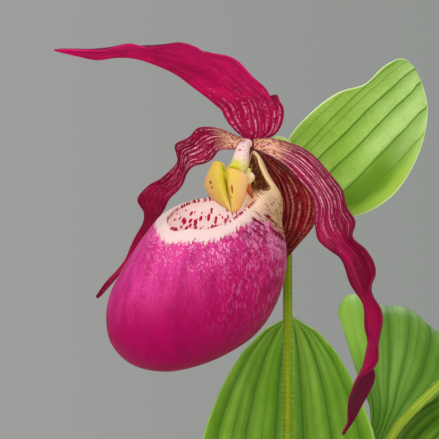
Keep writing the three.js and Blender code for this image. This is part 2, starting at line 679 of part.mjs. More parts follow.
// The staminode: a shield of two round lobes with a cleft between them, swollen by extra.
function staminodeGeometry(extra) {
  const long = STAMINODE_TIP.clone().sub(STAMINODE_TOP);
  const facing = STAMINODE_ACROSS.clone().cross(long).normalize();
  if (facing.dot(FORWARD) < 0) facing.negate();
  const rings = [];
  for (let i = 0; i <= STAMINODE_ROWS; i += 1) {
    const share = i / STAMINODE_ROWS;
    const turn = STAMINODE_TOP_TURN + (1 - STAMINODE_TOP_TURN) * share ** STAMINODE_TAPER;
    const swell = Math.sin(Math.PI * turn) ** STAMINODE_ROUNDNESS;
    const half = STAMINODE_HALF_WIDTH * (0.94 * swell + 0.06) + extra;
    const fullness = Math.sin(Math.PI * share ** 0.7);
    const ring = [];
    for (let j = 0; j < STAMINODE_SIDES; j += 1) {
      const angle = 2 * Math.PI * j / STAMINODE_SIDES;
      const s = Math.cos(angle);
      const body = Math.sin(angle);
      const front = body > 0;
      const cleft = Math.exp(-((s / STAMINODE_CLEFT_SHARE) ** 2));
      const ear = STAMINODE_EARS[s < 0 ? 0 : 1]
        * Math.sin(Math.PI * Math.abs(s) ** STAMINODE_EAR_LEAN);
      const lobe = front ? STAMINODE_BULGE * (0.3 + 0.7 * fullness) : 1;
      const groove = front ? STAMINODE_GROOVE * cleft * fullness : 0;
      const sag = STAMINODE_SAG * s * s * (1 - share ** 4);
      ring.push(STAMINODE_TOP.clone()
        .addScaledVector(long, share)
        .addScaledVector(UP, ear * (1 - share) ** 1.5 + extra * (1 - 2 * share))
        .addScaledVector(STAMINODE_ACROSS, half * s)
        .addScaledVector(facing, body * (lobe + extra) - groove - sag));
    }
    rings.push(ring);
  }
  return ringGeometry(rings, true);
}

// The column, with an anther on each side and the stigma below, grown as one.
function columnGeometry() {
  const radiusAt = (t) => COLUMN_RADIUS + COLUMN_SWELL * smoothStep(t * 1.3);
  const neck = rodGeometry(curveThrough(COLUMN_PATH), radiusAt, COLUMN_STEPS, COLUMN_SIDES);
  let solid = manifoldOf(neck);
  ANTHERS.forEach((centre) => {
    const anther = new THREE.SphereGeometry(ANTHER_RADIUS, 10, 7);
    anther.translate(...centre);
    solid = solid.add(manifoldOf(anther));
  });
  const taper = (t) => STIGMA_ROOT_RADIUS + (STIGMA_TIP_RADIUS - STIGMA_ROOT_RADIUS) * t;
  solid = solid.add(manifoldOf(rodGeometry(curveThrough(STIGMA_PATH), taper, 5, 8)));
  return geometryOf(solid.subtract(manifoldOf(staminodeGeometry(GAP))));
}

// The part: one named mesh for each piece
const group = new THREE.Group();

function addPiece(name, geometry, colour, roughness) {
  const material = new THREE.MeshStandardMaterial({ color: colour, roughness, metalness: 0 });
  const mesh = new THREE.Mesh(geometry, material);
  mesh.name = name;
  group.add(mesh);
}

// Both stems, each a round rod of its own
function addStem(name, stem, colour) {
  const rod = rodGeometry(stem.curve, stem.radiusAt, STEM_STEPS, STEM_SIDES);
  addPiece(name, rod, colour, 0.6);
}

addPiece('pot', potGeometry(), CLAY, 0.85);
addPiece('substrate', substrateGeometry(), SOIL, 0.95);
const flowerStem = makeStem(STEM_PATH, STEM_FOOT_RADIUS, STEM_TOP_RADIUS);
const sideStem = makeStem(SIDE_STEM_PATH, SIDE_STEM_FOOT_RADIUS, SIDE_STEM_TOP_RADIUS);
addStem('flower_stem', flowerStem, STEM_GREEN);
addStem('side_stem', sideStem, SIDE_STEM_GREEN);
MAIN_LEAVES.forEach((leaf, i) => {
  addPiece(leaf.name, leafGeometry(leaf, flowerStem, MAIN_LEAF_SEED + i), LEAF_GREEN, 0.6);
});
SIDE_LEAVES.forEach((leaf, i) => {
  addPiece(leaf.name, leafGeometry(leaf, sideStem, SIDE_LEAF_SEED + i), LEAF_GREEN, 0.6);
});
addPiece('ovary', ovaryGeometry(), OVARY_GREEN, 0.6);
BLADES.forEach((blade) => addPiece(blade.name, tepalGeometry(blade), blade.colour, 0.55));
addPiece('lip', pouchGeometry(), LIP_MAGENTA, 0.45);
addPiece('column', columnGeometry(), COLUMN_CREAM, 0.6);
addPiece('staminode', staminodeGeometry(0), STAMINODE_YELLOW, 0.5);

export default group;
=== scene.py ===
"""A potted slipper orchid: a clay pot of potting mix, two leafy shoots and one open flower."""

import math
import random
from collections import namedtuple
from types import SimpleNamespace

import bmesh
import bpy
import numpy as np
from mathutils import Matrix, Vector, noise


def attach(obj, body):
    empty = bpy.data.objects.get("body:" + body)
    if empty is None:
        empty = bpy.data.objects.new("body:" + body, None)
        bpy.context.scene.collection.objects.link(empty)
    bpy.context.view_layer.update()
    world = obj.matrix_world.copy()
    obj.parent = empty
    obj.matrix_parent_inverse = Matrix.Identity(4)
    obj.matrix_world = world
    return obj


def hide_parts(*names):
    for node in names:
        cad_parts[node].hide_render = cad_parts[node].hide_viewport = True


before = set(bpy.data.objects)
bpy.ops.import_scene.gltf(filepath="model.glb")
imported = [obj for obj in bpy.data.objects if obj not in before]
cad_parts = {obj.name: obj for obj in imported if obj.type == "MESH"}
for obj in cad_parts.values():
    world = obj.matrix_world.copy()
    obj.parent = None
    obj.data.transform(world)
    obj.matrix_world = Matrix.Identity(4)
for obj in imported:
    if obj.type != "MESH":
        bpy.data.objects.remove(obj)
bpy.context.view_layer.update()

MM = 0.001
TURN = 2 * math.pi


def add_object(name, data):
    """A new object in the scene."""
    made = bpy.data.objects.new(name, data)
    bpy.context.collection.objects.link(made)
    return made


# Camera and lights, in metres

CAMERA_PLACE = (-0.0223, -0.9, 0.35)
CAMERA_LENS = 223.4
SENSOR_WIDTH = 36


def make_camera():
    """The camera looks level along +Y at the flower."""
    lens = bpy.data.cameras.new("camera")
    lens.sensor_width = SENSOR_WIDTH
    lens.lens = CAMERA_LENS
    camera = add_object("camera", lens)
    camera.location = CAMERA_PLACE
    camera.rotation_euler = (math.pi / 2, 0, 0)
    bpy.context.scene.camera = camera
    bpy.context.scene.view_settings.view_transform = "Standard"


def make_light(name, place, target, size, power, colour=(1, 1, 1)):
    """A round soft lamp at a place, turned towards a target."""
    lamp = bpy.data.lights.new(name, "AREA")
    lamp.shape = "DISK"
    lamp.size = size
    lamp.energy = power
    lamp.color = colour
    light = add_object(name, lamp)
    light.location = place
    aim = Vector(target) - Vector(place)
    light.rotation_euler = aim.to_track_quat("-Z", "Y").to_euler()


def rgb(red, green, blue):
    """A screen colour of 0 to 255 as the linear colour that a shader takes."""
    def linear(value):
        share = value / 255
        return share / 12.92 if share <= 0.04045 else ((share + 0.055) / 1.055) ** 2.4
    return (linear(red), linear(green), linear(blue), 1)


# Shader maths

class Wire:
    """A node's output, which takes part in Python sums."""

    def __init__(self, patterns, socket):
        self.patterns = patterns
        self.socket = socket

    def math(self, operation, *values):
        return self.patterns.node("ShaderNodeMath", {"operation": operation},
                                  dict(enumerate(values)))

    def __add__(self, other):
        return self.math("ADD", self, other)

    def __radd__(self, other):
        return self.math("ADD", other, self)

    def __sub__(self, other):
        return self.math("SUBTRACT", self, other)

    def __rsub__(self, other):
        return self.math("SUBTRACT", other, self)

    def __mul__(self, other):
        return self.math("MULTIPLY", self, other)

    def __rmul__(self, other):
        return self.math("MULTIPLY", other, self)

    def __truediv__(self, other):
        return self.math("DIVIDE", self, other)

    def __pow__(self, other):
        return self.math("POWER", self, other)

    def __mod__(self, other):
        return self.math("FLOORED_MODULO", self, other)

    def __abs__(self):
        return self.math("ABSOLUTE", self)

    def cos(self):
        return self.math("COSINE", self)

    def floor(self):
        return self.math("FLOOR", self)

    def most(self, other):
        return self.math("MAXIMUM", self, other)

    def step(self, low, high):
        """0 below low and 1 above high, smooth between them. Turned round where low > high."""
        start, end, first, last = (low, high, 0, 1) if low < high else (high, low, 1, 0)
        return self.patterns.node("ShaderNodeMapRange", {"interpolation_type": "SMOOTHSTEP"},
                                  {0: self, 1: start, 2: end, 3: first, 4: last})


class Patterns:
    """Adds the nodes of patterns to a node tree."""

    def __init__(self, tree):
        self.tree = tree

    def node(self, kind, settings, sockets, output=0):
        """A node with its settings, what its sockets are fed with, and one of its outputs."""
        made = self.tree.nodes.new(kind)
        for key, value in settings.items():
            if key == "stops":
                self.set_stops(made.color_ramp, value)
            else:
                setattr(made, key, value)
        for key, value in sockets.items():
            self.feed(made.inputs[key], value)
        return Wire(self, made.outputs[output])

    def set_stops(self, ramp, stops):
        """Each stop is a place on the ramp and its colour."""
        while len(ramp.elements) < len(stops):
            ramp.elements.new(1)
        for element, (place, colour) in zip(ramp.elements, stops):
            element.position = place
            element.color = colour

    def feed(self, socket, value):
        if isinstance(value, Wire):
            self.tree.links.new(value.socket, socket)
        else:
            socket.default_value = value

    def place(self):
        """Where a point lies, in metres."""
        return self.node("ShaderNodeTexCoord", {}, {}, "Object")

    def along(self):
        """The piece's own map: across and along, each from 0 to 1."""
        return self.split(self.node("ShaderNodeUVMap", {"uv_map": "UVMap"}, {}))[:2]

    def split(self, vector):
        """A vector's three parts."""
        first = self.node("ShaderNodeSeparateXYZ", {}, {0: vector})
        return [Wire(self, socket) for socket in first.socket.node.outputs]

    def join(self, x, y, z):
        return self.node("ShaderNodeCombineXYZ", {}, {0: x, 1: y, 2: z})

    def value(self, name):
        """A number kept at every point of the mesh."""
        return self.node("ShaderNodeAttribute", {"attribute_name": name}, {}, "Fac")

    def grain(self, vector, scale, detail, rough=0.5):
        """Noise from 0 to 1, mostly near a half."""
        return self.node("ShaderNodeTexNoise", {}, {"Vector": vector, "Scale": scale,
                                                    "Detail": detail, "Roughness": rough})

    def streaks(self, x, y, z, detail, rough=0.5):
        """Noise over three numbers, drawn out where one of them is multiplied by less."""
        return self.grain(self.join(x, y, z), 1, detail, rough)

    def cells(self, vector, scale, feature="F1", output=0):
        """How far a point is from its cell's middle, or another output."""
        return self.node("ShaderNodeTexVoronoi", {"feature": feature},
                         {"Vector": vector, "Scale": scale}, output)

    def luck(self, value):
        """A random number from 0 to 1 for each whole number."""
        return self.node("ShaderNodeTexWhiteNoise", {"noise_dimensions": "1D"}, {"W": value})

    def mix(self, share, low, high):
        """low where share is 0 and high where it is 1."""
        return self.node("ShaderNodeMix", {"data_type": "RGBA", "clamp_factor": True},
                         {0: share, 6: low, 7: high}, 2)

    def stretch(self, vector, x, y, z):
        """A vector with each of its parts multiplied by its own number."""
        return self.node("ShaderNodeVectorMath", {"operation": "MULTIPLY"},
                         {0: vector, 1: (x, y, z)})

    def ramp(self, value, *stops):
        """Colours that follow a number."""
        return self.node("ShaderNodeValToRGB", {"stops": stops}, {0: value})


class Paint(Patterns):
    """A procedural material on one Principled shader."""

    def __init__(self, name, **constants):
        self.material = bpy.data.materials.new(name)
        self.material.use_nodes = True
        super().__init__(self.material.node_tree)
        self.colour = None
        self.shader = self.tree.nodes["Principled BSDF"]
        for socket, value in constants.items():
            self.shader.inputs[socket.replace("_", " ")].default_value = value

    def base(self, share, low, high):
        """The first coat: low where share is 0 and high where it is 1."""
        self.colour = self.mix(share, low, high)

    def coat(self, share, colour):
        """Lays a colour over what is there, and hides it where share is 1."""
        self.colour = self.mix(share, self.colour, colour)

    def finish(self, roughness, height=None, strength=0.5, depth=0.0002):
        """Feeds the shader. The bump is as high as depth, in metres."""
        self.feed(self.shader.inputs["Base Color"], self.colour)
        self.feed(self.shader.inputs["Roughness"], roughness)
        if height is not None:
            bump = self.node("ShaderNodeBump", {}, {"Strength": strength, "Distance": depth,
                                                    "Height": height})
            self.feed(self.shader.inputs["Normal"], bump)
        return self.material


# Curves, all in millimetres

class Curve:
    """A smooth curve through points, centripetal like those that the solids follow."""

    SAMPLES = 400
    NUDGE = 1e-3
    LEAST_LENGTH = 1e-8

    def __init__(self, points, closed=False):
        self.points = [Vector(point) for point in points]
        self.closed = closed
        samples = [self.point(i / self.SAMPLES) for i in range(self.SAMPLES + 1)]
        self.lengths = [0.0]
        for before, after in zip(samples, samples[1:]):
            self.lengths.append(self.lengths[-1] + (after - before).length)
        self.length = self.lengths[-1]

    def point(self, t):
        """The place at the curve's own parameter t, which passes one point after another."""
        count = len(self.points)
        spot = (count if self.closed else count - 1) * t
        index = int(math.floor(spot))
        share = spot - index
        if not self.closed and index >= count - 1:
            index, share = count - 2, 1.0
        before, start, end, after = self.neighbours(index)
        first_span = self.span(before, start)
        middle_span = self.span(start, end)
        last_span = self.span(end, after)
        slope = ((start - before) / first_span - (end - before) / (first_span + middle_span)
                 + (end - start) / middle_span) * middle_span
        end_slope = ((end - start) / middle_span - (after - start) / (middle_span + last_span)
                     + (after - end) / last_span) * middle_span
        square = share * share
        cube = square * share
        return (start * (2 * cube - 3 * square + 1) + slope * (cube - 2 * square + share)
                + end * (3 * square - 2 * cube) + end_slope * (cube - square))

    def neighbours(self, index):
        """The ends of a stretch with the points before and after it, which are made up beyond the
        ends of an open curve."""
        count = len(self.points)
        if self.closed:
            return [self.points[(index + k) % count] for k in (-1, 0, 1, 2)]
        start, end = self.points[index], self.points[index + 1]
        before = self.points[index - 1] if index > 0 else 2 * start - end
        after = self.points[index + 2] if index + 2 < count else 2 * end - start
        return [before, start, end, after]

    def span(self, start, end):
        """The root of a distance, which is never quite nothing."""
        return max((end - start).length, self.LEAST_LENGTH) ** 0.5

    def share_at(self, length_share):
        """The curve's own parameter at a share of its length."""
        target = length_share * self.length
        index = int(np.searchsorted(self.lengths, target, side="right")) - 1
        index = min(max(index, 0), self.SAMPLES - 1)
        span = self.lengths[index + 1] - self.lengths[index]
        rest = (target - self.lengths[index]) / span if span > 0 else 0
        return (index + rest) / self.SAMPLES

    def at(self, length_share):
        """The place at a share of the curve's length."""
        return self.point(self.share_at(length_share))

    def heading(self, length_share):
        """The way the curve goes at a share of its length."""
        low, high = max(length_share - self.NUDGE, 0), min(length_share + self.NUDGE, 1)
        return (self.at(high) - self.at(low)).normalized()

    def slope(self, t):
        """The way the curve goes at its own parameter."""
        low, high = max(t - self.NUDGE, 0), min(t + self.NUDGE, 1)
        return (self.point(high) - self.point(low)).normalized()


def line_of(values):
    """A smooth run of numbers, as a curve on one axis."""
    return Curve([(value, 0, 0) for value in values])


def smooth(value):
    """0 below 0 and 1 above 1, smooth between them."""
    x = min(max(value, 0.0), 1.0)
    return x * x * (3 - 2 * x)


# Making pieces, in millimetres

BLADE_THICKNESS = 0.8
# How much of its thickness a blade has at its very edge, and at the least
BLADE_MARGIN_WEIGHT = 0.15
BLADE_LEAST_SHARE = 0.35
HAIR_LEAN = 0.5


def mesh_data(name, mesh):
    """A bmesh as mesh data, after which the bmesh is gone."""
    data = bpy.data.meshes.new(name)
    mesh.to_mesh(data)
    mesh.free()
    return data


def new_piece(name, mesh, nodes, materials):
    """A piece from a bmesh, which takes the place of its nodes of the frame."""
    return settle_in(add_object(name, mesh_data(name, mesh)), nodes, materials)


def settle_in(piece, nodes, materials):
    """Everything rides on the root body, because nothing on the plant moves."""
    for material in materials:
        piece.data.materials.append(material)
    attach(piece, "root")
    if nodes:
        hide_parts(*nodes)
    return piece


def modify(piece, name, kind, **settings):
    """Adds a modifier with its settings."""
    modifier = piece.modifiers.new(name, kind)
    for key, value in settings.items():
        setattr(modifier, key, value)


def round_edges(piece, width, least_angle, **settings):
    """Adds a rounding of the edges that are sharper than an angle in degrees."""
    modify(piece, "rounding", "BEVEL", width=width * MM, segments=3, limit_method="ANGLE",
           angle_limit=math.radians(least_angle), **settings)


def apply_modifiers(piece, sharp):
    """Makes the modifiers' result the piece's own mesh, and shades it smooth except at edges
    sharper than an angle."""
    graph = bpy.context.evaluated_depsgraph_get()
    result = bpy.data.meshes.new_from_object(piece.evaluated_get(graph))
    piece.modifiers.clear()
    old, piece.data = piece.data, result
    bpy.data.meshes.remove(old)
    result.name = piece.name
    shade(piece, sharp)


def shade(piece, sharp):
    """Smooth, but for the edges that are sharper than an angle in degrees."""
    piece.data.shade_smooth()
    piece.data.set_sharp_from_angle(angle=math.radians(sharp))


def numbered_grid(rows, columns, values=()):
    """A flat grid whose map is (share of the columns, share of the rows), with a layer for each
    named value, and the row and column of each of its vertices."""
    mesh = bmesh.new()
    uv = mesh.loops.layers.uv.new("UVMap")
    for name in values:
        mesh.verts.layers.float.new(name)
    bmesh.ops.create_grid(mesh, x_segments=rows, y_segments=columns, size=1)
    for face in mesh.faces:
        for loop in face.loops:
            loop[uv].uv = ((loop.vert.co.y + 1) / 2, (loop.vert.co.x + 1) / 2)
    spots = {}
    for vert in mesh.verts:
        row = round((vert.co.x + 1) / 2 * rows)
        column = round((vert.co.y + 1) / 2 * columns)
        spots[vert] = (row, column)
    return mesh, spots


def lay_grid(rows, columns, section):
    """A grid laid over section(t)(s), with t from 0 to 1 and s from -1 to 1."""
    mesh, spots = numbered_grid(rows, columns)
    sections = [section(i / rows) for i in range(rows + 1)]
    for vert, (row, column) in spots.items():
        vert.co = sections[row](2 * column / columns - 1) * MM
    return mesh


def spin_profile(profile, steps):
    """A solid of revolution from its profile of radius and height in millimetres."""
    mesh = bmesh.new()
    verts = [mesh.verts.new((radius * MM, 0, height * MM)) for radius, height in profile]
    edges = [mesh.edges.new(pair) for pair in zip(verts, verts[1:])]
    bmesh.ops.spin(mesh, geom=verts + edges, axis=(0, 0, 1), cent=(0, 0, 0), steps=steps,
                   angle=TURN, use_merge=True)
    weld(mesh, 1e-6)
    return mesh


def weld(mesh, reach):
    """Joins vertices that are within a reach in metres, and turns a closed mesh's faces outwards."""
    bmesh.ops.remove_doubles(mesh, verts=mesh.verts, dist=reach)
    bmesh.ops.recalc_face_normals(mesh, faces=mesh.faces)


def face_towards(mesh, front):
    """Turns an open sheet's faces so that most of them look towards front."""
    bmesh.ops.recalc_face_normals(mesh, faces=mesh.faces)
    total = sum((face.normal * face.calc_area() for face in mesh.faces), Vector())
    if total.dot(Vector(front)) < 0:
        bmesh.ops.reverse_faces(mesh, faces=mesh.faces)


def blade(name, node, section, size, materials, front):
    """A thin closed blade over its middle surface, thinner towards its margin. The first material
    is on the side that looks towards front and the last one on the other."""
    rows, columns = size
    mesh = lay_grid(rows, columns, section)
    body = mesh.verts.layers.deform.verify()
    for vert in mesh.verts:
        vert[body][0] = BLADE_MARGIN_WEIGHT if vert.is_boundary else 1.0
    face_towards(mesh, front)
    piece = new_piece(name, mesh, [node], materials)
    piece.vertex_groups.new(name="body")
    modify(piece, "thickness", "SOLIDIFY", thickness=BLADE_THICKNESS * MM, offset=0,
           vertex_group="body", thickness_vertex_group=BLADE_LEAST_SHARE,
           material_offset=len(materials) - 1)
    apply_modifiers(piece, 75)
    return piece


def rod_section(curve, radius_at, steps):
    """The rings of a rod: for each share of its length, a function of -1 to 1 round it."""
    headings = [curve.heading(i / steps) for i in range(steps + 1)]
    side = headings[0].orthogonal().normalized()
    sides = [side]
    for before, after in zip(headings, headings[1:]):
        side = before.rotation_difference(after) @ side
        side = (side - after * side.dot(after)).normalized()
        sides.append(side)

    def section(t):
        i = round(t * steps)
        centre = curve.at(t)
        first = sides[i]
        second = headings[i].cross(first)

        def place(s):
            angle = math.pi * s
            radius = radius_at(t, angle)
            return centre + first * (radius * math.cos(angle)) + second * (radius * math.sin(angle))
        return place
    return section


def rod_mesh(curve, radius_at, steps, sides):
    """A closed rod along a curve. radius_at(t, angle) is its radius."""
    mesh = lay_grid(steps, sides, rod_section(curve, radius_at, steps))
    bmesh.ops.remove_doubles(mesh, verts=mesh.verts, dist=1e-7)
    bmesh.ops.holes_fill(mesh, edges=mesh.edges, sides=0)
    bmesh.ops.recalc_face_normals(mesh, faces=mesh.faces)
    return mesh


def scatter(name, templates, places, material, tones=None):
    """One mesh of many small copies. places are pairs of a template's number and a matrix, and
    tones give each copy a number that its material may read."""
    shapes = []
    for template in templates:
        template.verts.ensure_lookup_table()
        points = np.array([vert.co[:] for vert in template.verts])
        faces = [[vert.index for vert in face.verts] for face in template.faces]
        shapes.append((points, faces))
        template.free()
    points, faces, marks, base = [], [], [], 0
    for number, (shape, matrix) in enumerate(places):
        local, corners = shapes[shape]
        turn = np.array(matrix.to_3x3())
        points.append(local @ turn.T + np.array(matrix.translation))
        faces.extend([[corner + base for corner in face] for face in corners])
        marks.extend([tones[number] if tones else 0.0] * len(local))
        base += len(local)
    data = bpy.data.meshes.new(name)
    data.from_pydata(np.concatenate(points).tolist(), [], faces)
    if tones:
        layer = data.attributes.new("tone", "FLOAT", "POINT")
        layer.data.foreach_set("value", marks)
    data.update()
    return settle_in(add_object(name, data), [], [material])


def hair_template():
    """One hair of unit length along +Z, thick at its root."""
    mesh = bmesh.new()
    bmesh.ops.create_cone(mesh, segments=3, radius1=1, radius2=0.25, depth=1)
    bmesh.ops.translate(mesh, verts=mesh.verts, vec=(0, 0, 0.5))
    return mesh


def hair_place(root, heading, length, thickness):
    """Where a hair stands, as a place for scatter. Its root is in metres."""
    turn = heading.to_track_quat("Z", "Y").to_matrix().to_4x4()
    size = Matrix.Diagonal((thickness * MM, thickness * MM, length * MM, 1))
    return (0, Matrix.Translation(root) @ turn @ size)


def hairs_on(name, pieces, chance, length, thickness, material, seed):
    """Hairs over some pieces. chance(place, normal) is how many stand on a square millimetre."""
    rng = random.Random(seed)
    places = []
    for piece in pieces:
        data = piece.data
        for polygon in data.polygons:
            wanted = chance(polygon.center / MM, polygon.normal) * polygon.area / MM / MM
            count = int(wanted) + (rng.random() < wanted - int(wanted))
            corners = [data.vertices[index].co for index in polygon.vertices]
            for _ in range(count):
                weights = [rng.random() for _ in corners]
                total = sum(weights)
                root = sum((corner * weight for corner, weight in zip(corners, weights)), Vector())
                tilt = Vector([rng.uniform(-HAIR_LEAN, HAIR_LEAN) for _ in range(3)])
                heading = (polygon.normal + tilt).normalized()
                long = length * rng.uniform(0.5, 1.2)
                places.append(hair_place(root / total, heading, long, thickness))
    return scatter(name, [hair_template()], places, material)


# Materials

def clay_material():
    """Fired clay with faint rings, and a lime bloom towards the foot and the collar."""
    paint = Paint("fired clay", Specular_IOR_Level=0.25)
    spot = paint.place()
    fine = paint.grain(spot, 420, 3, 0.6)
    rings = paint.grain(paint.stretch(spot, 6, 6, 420), 1, 2)
    height = paint.split(spot)[2]
    damp = height.step(0.04, 0.0) + height.step(0.085, 0.112) * 0.6 + 0.18
    bloom = paint.grain(spot, 55, 5, 0.65).step(0.5, 0.72) * damp
    paint.base(paint.grain(spot, 22, 4).step(0.3, 0.7), rgb(176, 96, 60), rgb(201, 128, 90))
    paint.coat(fine.step(0.45, 0.75) * 0.5, rgb(150, 78, 50))
    paint.coat(bloom * 0.75, rgb(216, 196, 176))
    return paint.finish(0.78 + fine * 0.2, fine * 0.7 + rings * 0.6, 0.6, 0.0004)


def soil_material():
    """The dark lumpy mix between the grit."""
    paint = Paint("potting mix", Specular_IOR_Level=0.15)
    lumps = paint.grain(paint.place(), 260, 4, 0.7)
    paint.colour = paint.ramp(lumps, (0.3, rgb(38, 27, 20)), (0.55, rgb(74, 53, 38)),
                              (0.75, rgb(110, 84, 60)))
    return paint.finish(0.95, lumps, 1.0, 0.0012)


def grit_material():
    """Each bit has its own tone, from dark bark to pale pumice."""
    paint = Paint("bark and pumice grit", Specular_IOR_Level=0.2)
    mottle = paint.grain(paint.place(), 700, 4, 0.7)
    paint.colour = paint.ramp(paint.value("tone"), (0.0, rgb(58, 38, 27)), (0.3, rgb(96, 62, 40)),
                              (0.55, rgb(132, 88, 56)), (0.68, rgb(160, 128, 96)),
                              (0.8, rgb(196, 186, 170)), (1.0, rgb(222, 214, 200)))
    paint.coat(mottle.step(0.4, 0.75) * 0.45, rgb(60, 46, 36))
    return paint.finish(0.9, mottle, 0.8, 0.0005)


def stem_material(name, body, light, dark, tip=None):
    """A fine-streaked stalk, whose part behind the flower may take the colour tip."""
    paint = Paint(name, Specular_IOR_Level=0.12, Subsurface_Weight=0.08, Subsurface_Scale=0.002)
    around, up = paint.along()
    spot = paint.place()
    streaks = paint.streaks(around * 24, up * 6, 0, 3, 0.6)
    fine = paint.grain(paint.stretch(spot, 1, 1, 0.15), 2600, 2)
    paint.base(streaks.step(0.35, 0.7), body, light)
    paint.coat(paint.grain(spot, 90, 2).step(0.45, 0.8) * 0.6, dark)
    if tip:
        paint.coat(paint.split(spot)[0].step(-0.0035, -0.0065), tip)
    return paint.finish(0.42 + streaks * 0.2, streaks + fine * 0.5, 0.5, 0.0002)


def leaf_material(name, body, ridge, groove, edge, painted_glow=None):
    """A ribbed leaf: painted shade along each vein, deepest in the grooves of its pleats, a dark line
    on each vein, fine veins between and a pale margin. A painted glow of the given colour may stand for
    light coming through one side."""
    paint = Paint(name, Specular_IOR_Level=0.16, Subsurface_Weight=0.06, Subsurface_Scale=0.0015)
    across, along = paint.along()
    spot = paint.place()
    wander = (paint.grain(paint.join(along * 3, across * 2, 0), 1.3, 1) - 0.5) * 0.02
    broad, line = 0.0, 0.0
    # broad is painted shade along each vein, strongest in the pleats' grooves; line is each vein's own
    # dark line
    for place, strength in LEAF_VEINS:
        gap = abs(across + wander - place)
        broad = (gap.step(VEIN_GROOVE_SHADE, 0.0) * strength).most(broad)
        line = (gap.step(VEIN_LINE, 0.0) * strength).most(line)
    fine = abs(((across * 46) % 1.0) - 0.5) * 2
    cloud = paint.grain(paint.stretch(spot, 1, 1, 0.5), 60, 3, 0.6)
    streak = paint.streaks(across * 50, along * 4, 0, 3, 0.6)
    speck = paint.grain(spot, 900, 3, 0.7)
    paint.base(cloud.step(0.3, 0.75), body, ridge)
    paint.coat(streak.step(0.4, 0.8) * 0.3, groove)
    # Painted shade along the veins' grooves
    paint.coat(broad * (0.45 + cloud * 0.45), groove)
    paint.coat(line * 0.65, groove)
    paint.coat(fine.step(0.6, 1.0) * 0.12, groove)
    paint.coat(speck.step(0.5, 0.8) * 0.2, ridge)
    # Painted light: light coming through one side, shown as a glow of its own colour
    if painted_glow:
        paint.coat(across.step(0.66, 0.86) * along.step(0.5, 0.65) * 0.75, painted_glow)
    paint.coat(abs(across - 0.5).step(0.488, 0.5) * 0.8, edge)
    height = (1 - broad) * 0.6 - line * 0.35 + (1 - fine) * 0.08 + streak * 0.15 + speck * 0.15
    return paint.finish(0.45 + cloud * 0.18, height, 0.6, 0.00035)


def bract_material():
    """Thin dark veins that run out over the far margin, with painted shade along one side of each, a
    deep green zone and a pale edge.
    """
    paint = Paint("bract", Specular_IOR_Level=0.16, Subsurface_Weight=0.06, Subsurface_Scale=0.0015)
    across, along = paint.along()
    spot = paint.place()
    x, _, z = paint.split(spot)
    wander = (paint.grain(paint.join(along * 4, across * 3, 0), 1.3, 2) - 0.5) * 2
    spread = along * (1 - along) * 1.3 + along.step(0.0, 0.3) * 0.7 + 0.3
    lane = ((x - z) / MM + BRACT_MIDDLE) / spread + wander
    broad, line = 0.0, 0.0
    # broad is painted shade along one side of each vein
    for place, strength in BRACT_VEINS:
        gap = lane - place
        broad = (gap.step(-0.6, 0.0) * gap.step(4.0, 0.0) * strength).most(broad)
        line = (abs(gap).step(0.5, 0.1) * strength).most(line)
    cloud = paint.grain(spot, 70, 4, 0.6)
    speck = paint.grain(spot, 900, 4, 0.7)
    drift = cloud - 0.5
    upper = (along + across * 0.5 + drift * 0.3).step(0.6, 1.15)
    zone = (lane + drift * 4).step(6.5, 9.5) * across.step(0.97, 0.9)
    zone = zone * (along + drift * 0.12).step(0.82, 0.5)
    margin = (across + drift * 0.05).step(0.86, 0.93) * along.step(0.75, 0.55)
    paint.base(cloud.step(0.35, 0.7), rgb(132, 170, 52), rgb(154, 188, 80))
    paint.coat(upper * 0.6, rgb(178, 206, 134))
    paint.coat(speck.step(0.5, 0.75) * 0.3, rgb(190, 212, 128))
    paint.coat(speck.step(0.47, 0.3) * 0.28, rgb(96, 136, 24))
    paint.coat(zone, rgb(88, 126, 4))
    paint.coat(margin * 0.8, rgb(140, 172, 46))
    # Painted shade beside each vein
    paint.coat(broad * 0.6, rgb(100, 144, 28))
    paint.coat(line * 0.8, rgb(70, 112, 6))
    paint.coat(abs(across - 0.5).step(0.486, 0.497) * 0.8, rgb(206, 220, 168))
    height = (1 - broad) * 0.6 - line * 0.5 + speck * 0.2 + cloud * 0.3
    return paint.finish(0.5 + cloud * 0.15, height, 0.6, 0.0003)


# What a tepal's look is where its own settings don't say otherwise. Its window is where along the
# blade the stripes begin, are full, begin to fade and end. deep_end is how far the colour low
# reaches from the foot, and foot how far the pale foot does.
# shade is how strongly painted shade darkens both margins.
TEPAL_LOOK = {"lines": 7, "breaks": 14, "whole": 0.1, "stripe_share": 1, "deep_end": 0.3,
              "shade": 0.35, "dark": rgb(84, 0, 28), "low": rgb(128, 0, 48),
              "edge": rgb(196, 40, 96), "upper": None, "foot": None}
# For each set of stripes: how dense, bright and thick they are
STRIPE_SETS = [(1, 1.0, 0.17), (1.7, 0.6, 0.12)]


def tepal_stripes(paint, across, along, wander, look):
    """Thin broken stripes: how strong they are, how high their ribs and where they may show."""
    first, full, fading, last = look.window
    strength, ribs = 0.0, 0.0
    for number, (density, bright, thick) in enumerate(STRIPE_SETS):
        position = (across + wander * (1 + number)) * (density * look.lines) + number * 0.4
        index = position.floor()
        kind = paint.luck(index + number * 50)
        gap = abs(position - index - 0.5 - (kind - 0.5) * 0.5)
        broken = paint.streaks(index * 3.7, along * look.breaks, number * 9, 3, 0.7)
        ends = along + (kind - 0.5) * 0.12
        window = ends.step(first, full) * ends.step(last, fading)
        whole = (broken + window * look.whole).step(0.5, 0.62)
        beads = paint.streaks(index * 2.3, along * 90, 4, 1).step(0.36, 0.56)
        thread = gap.step(thick, thick * 0.35) * whole * window * (kind * 0.5 + 0.5) * bright
        strength = (thread * (beads * 0.5 + 0.5)).most(strength)
        ribs = gap.step(0.5, 0.0) * (1 - number * 0.6) + ribs
    return strength, ribs, window


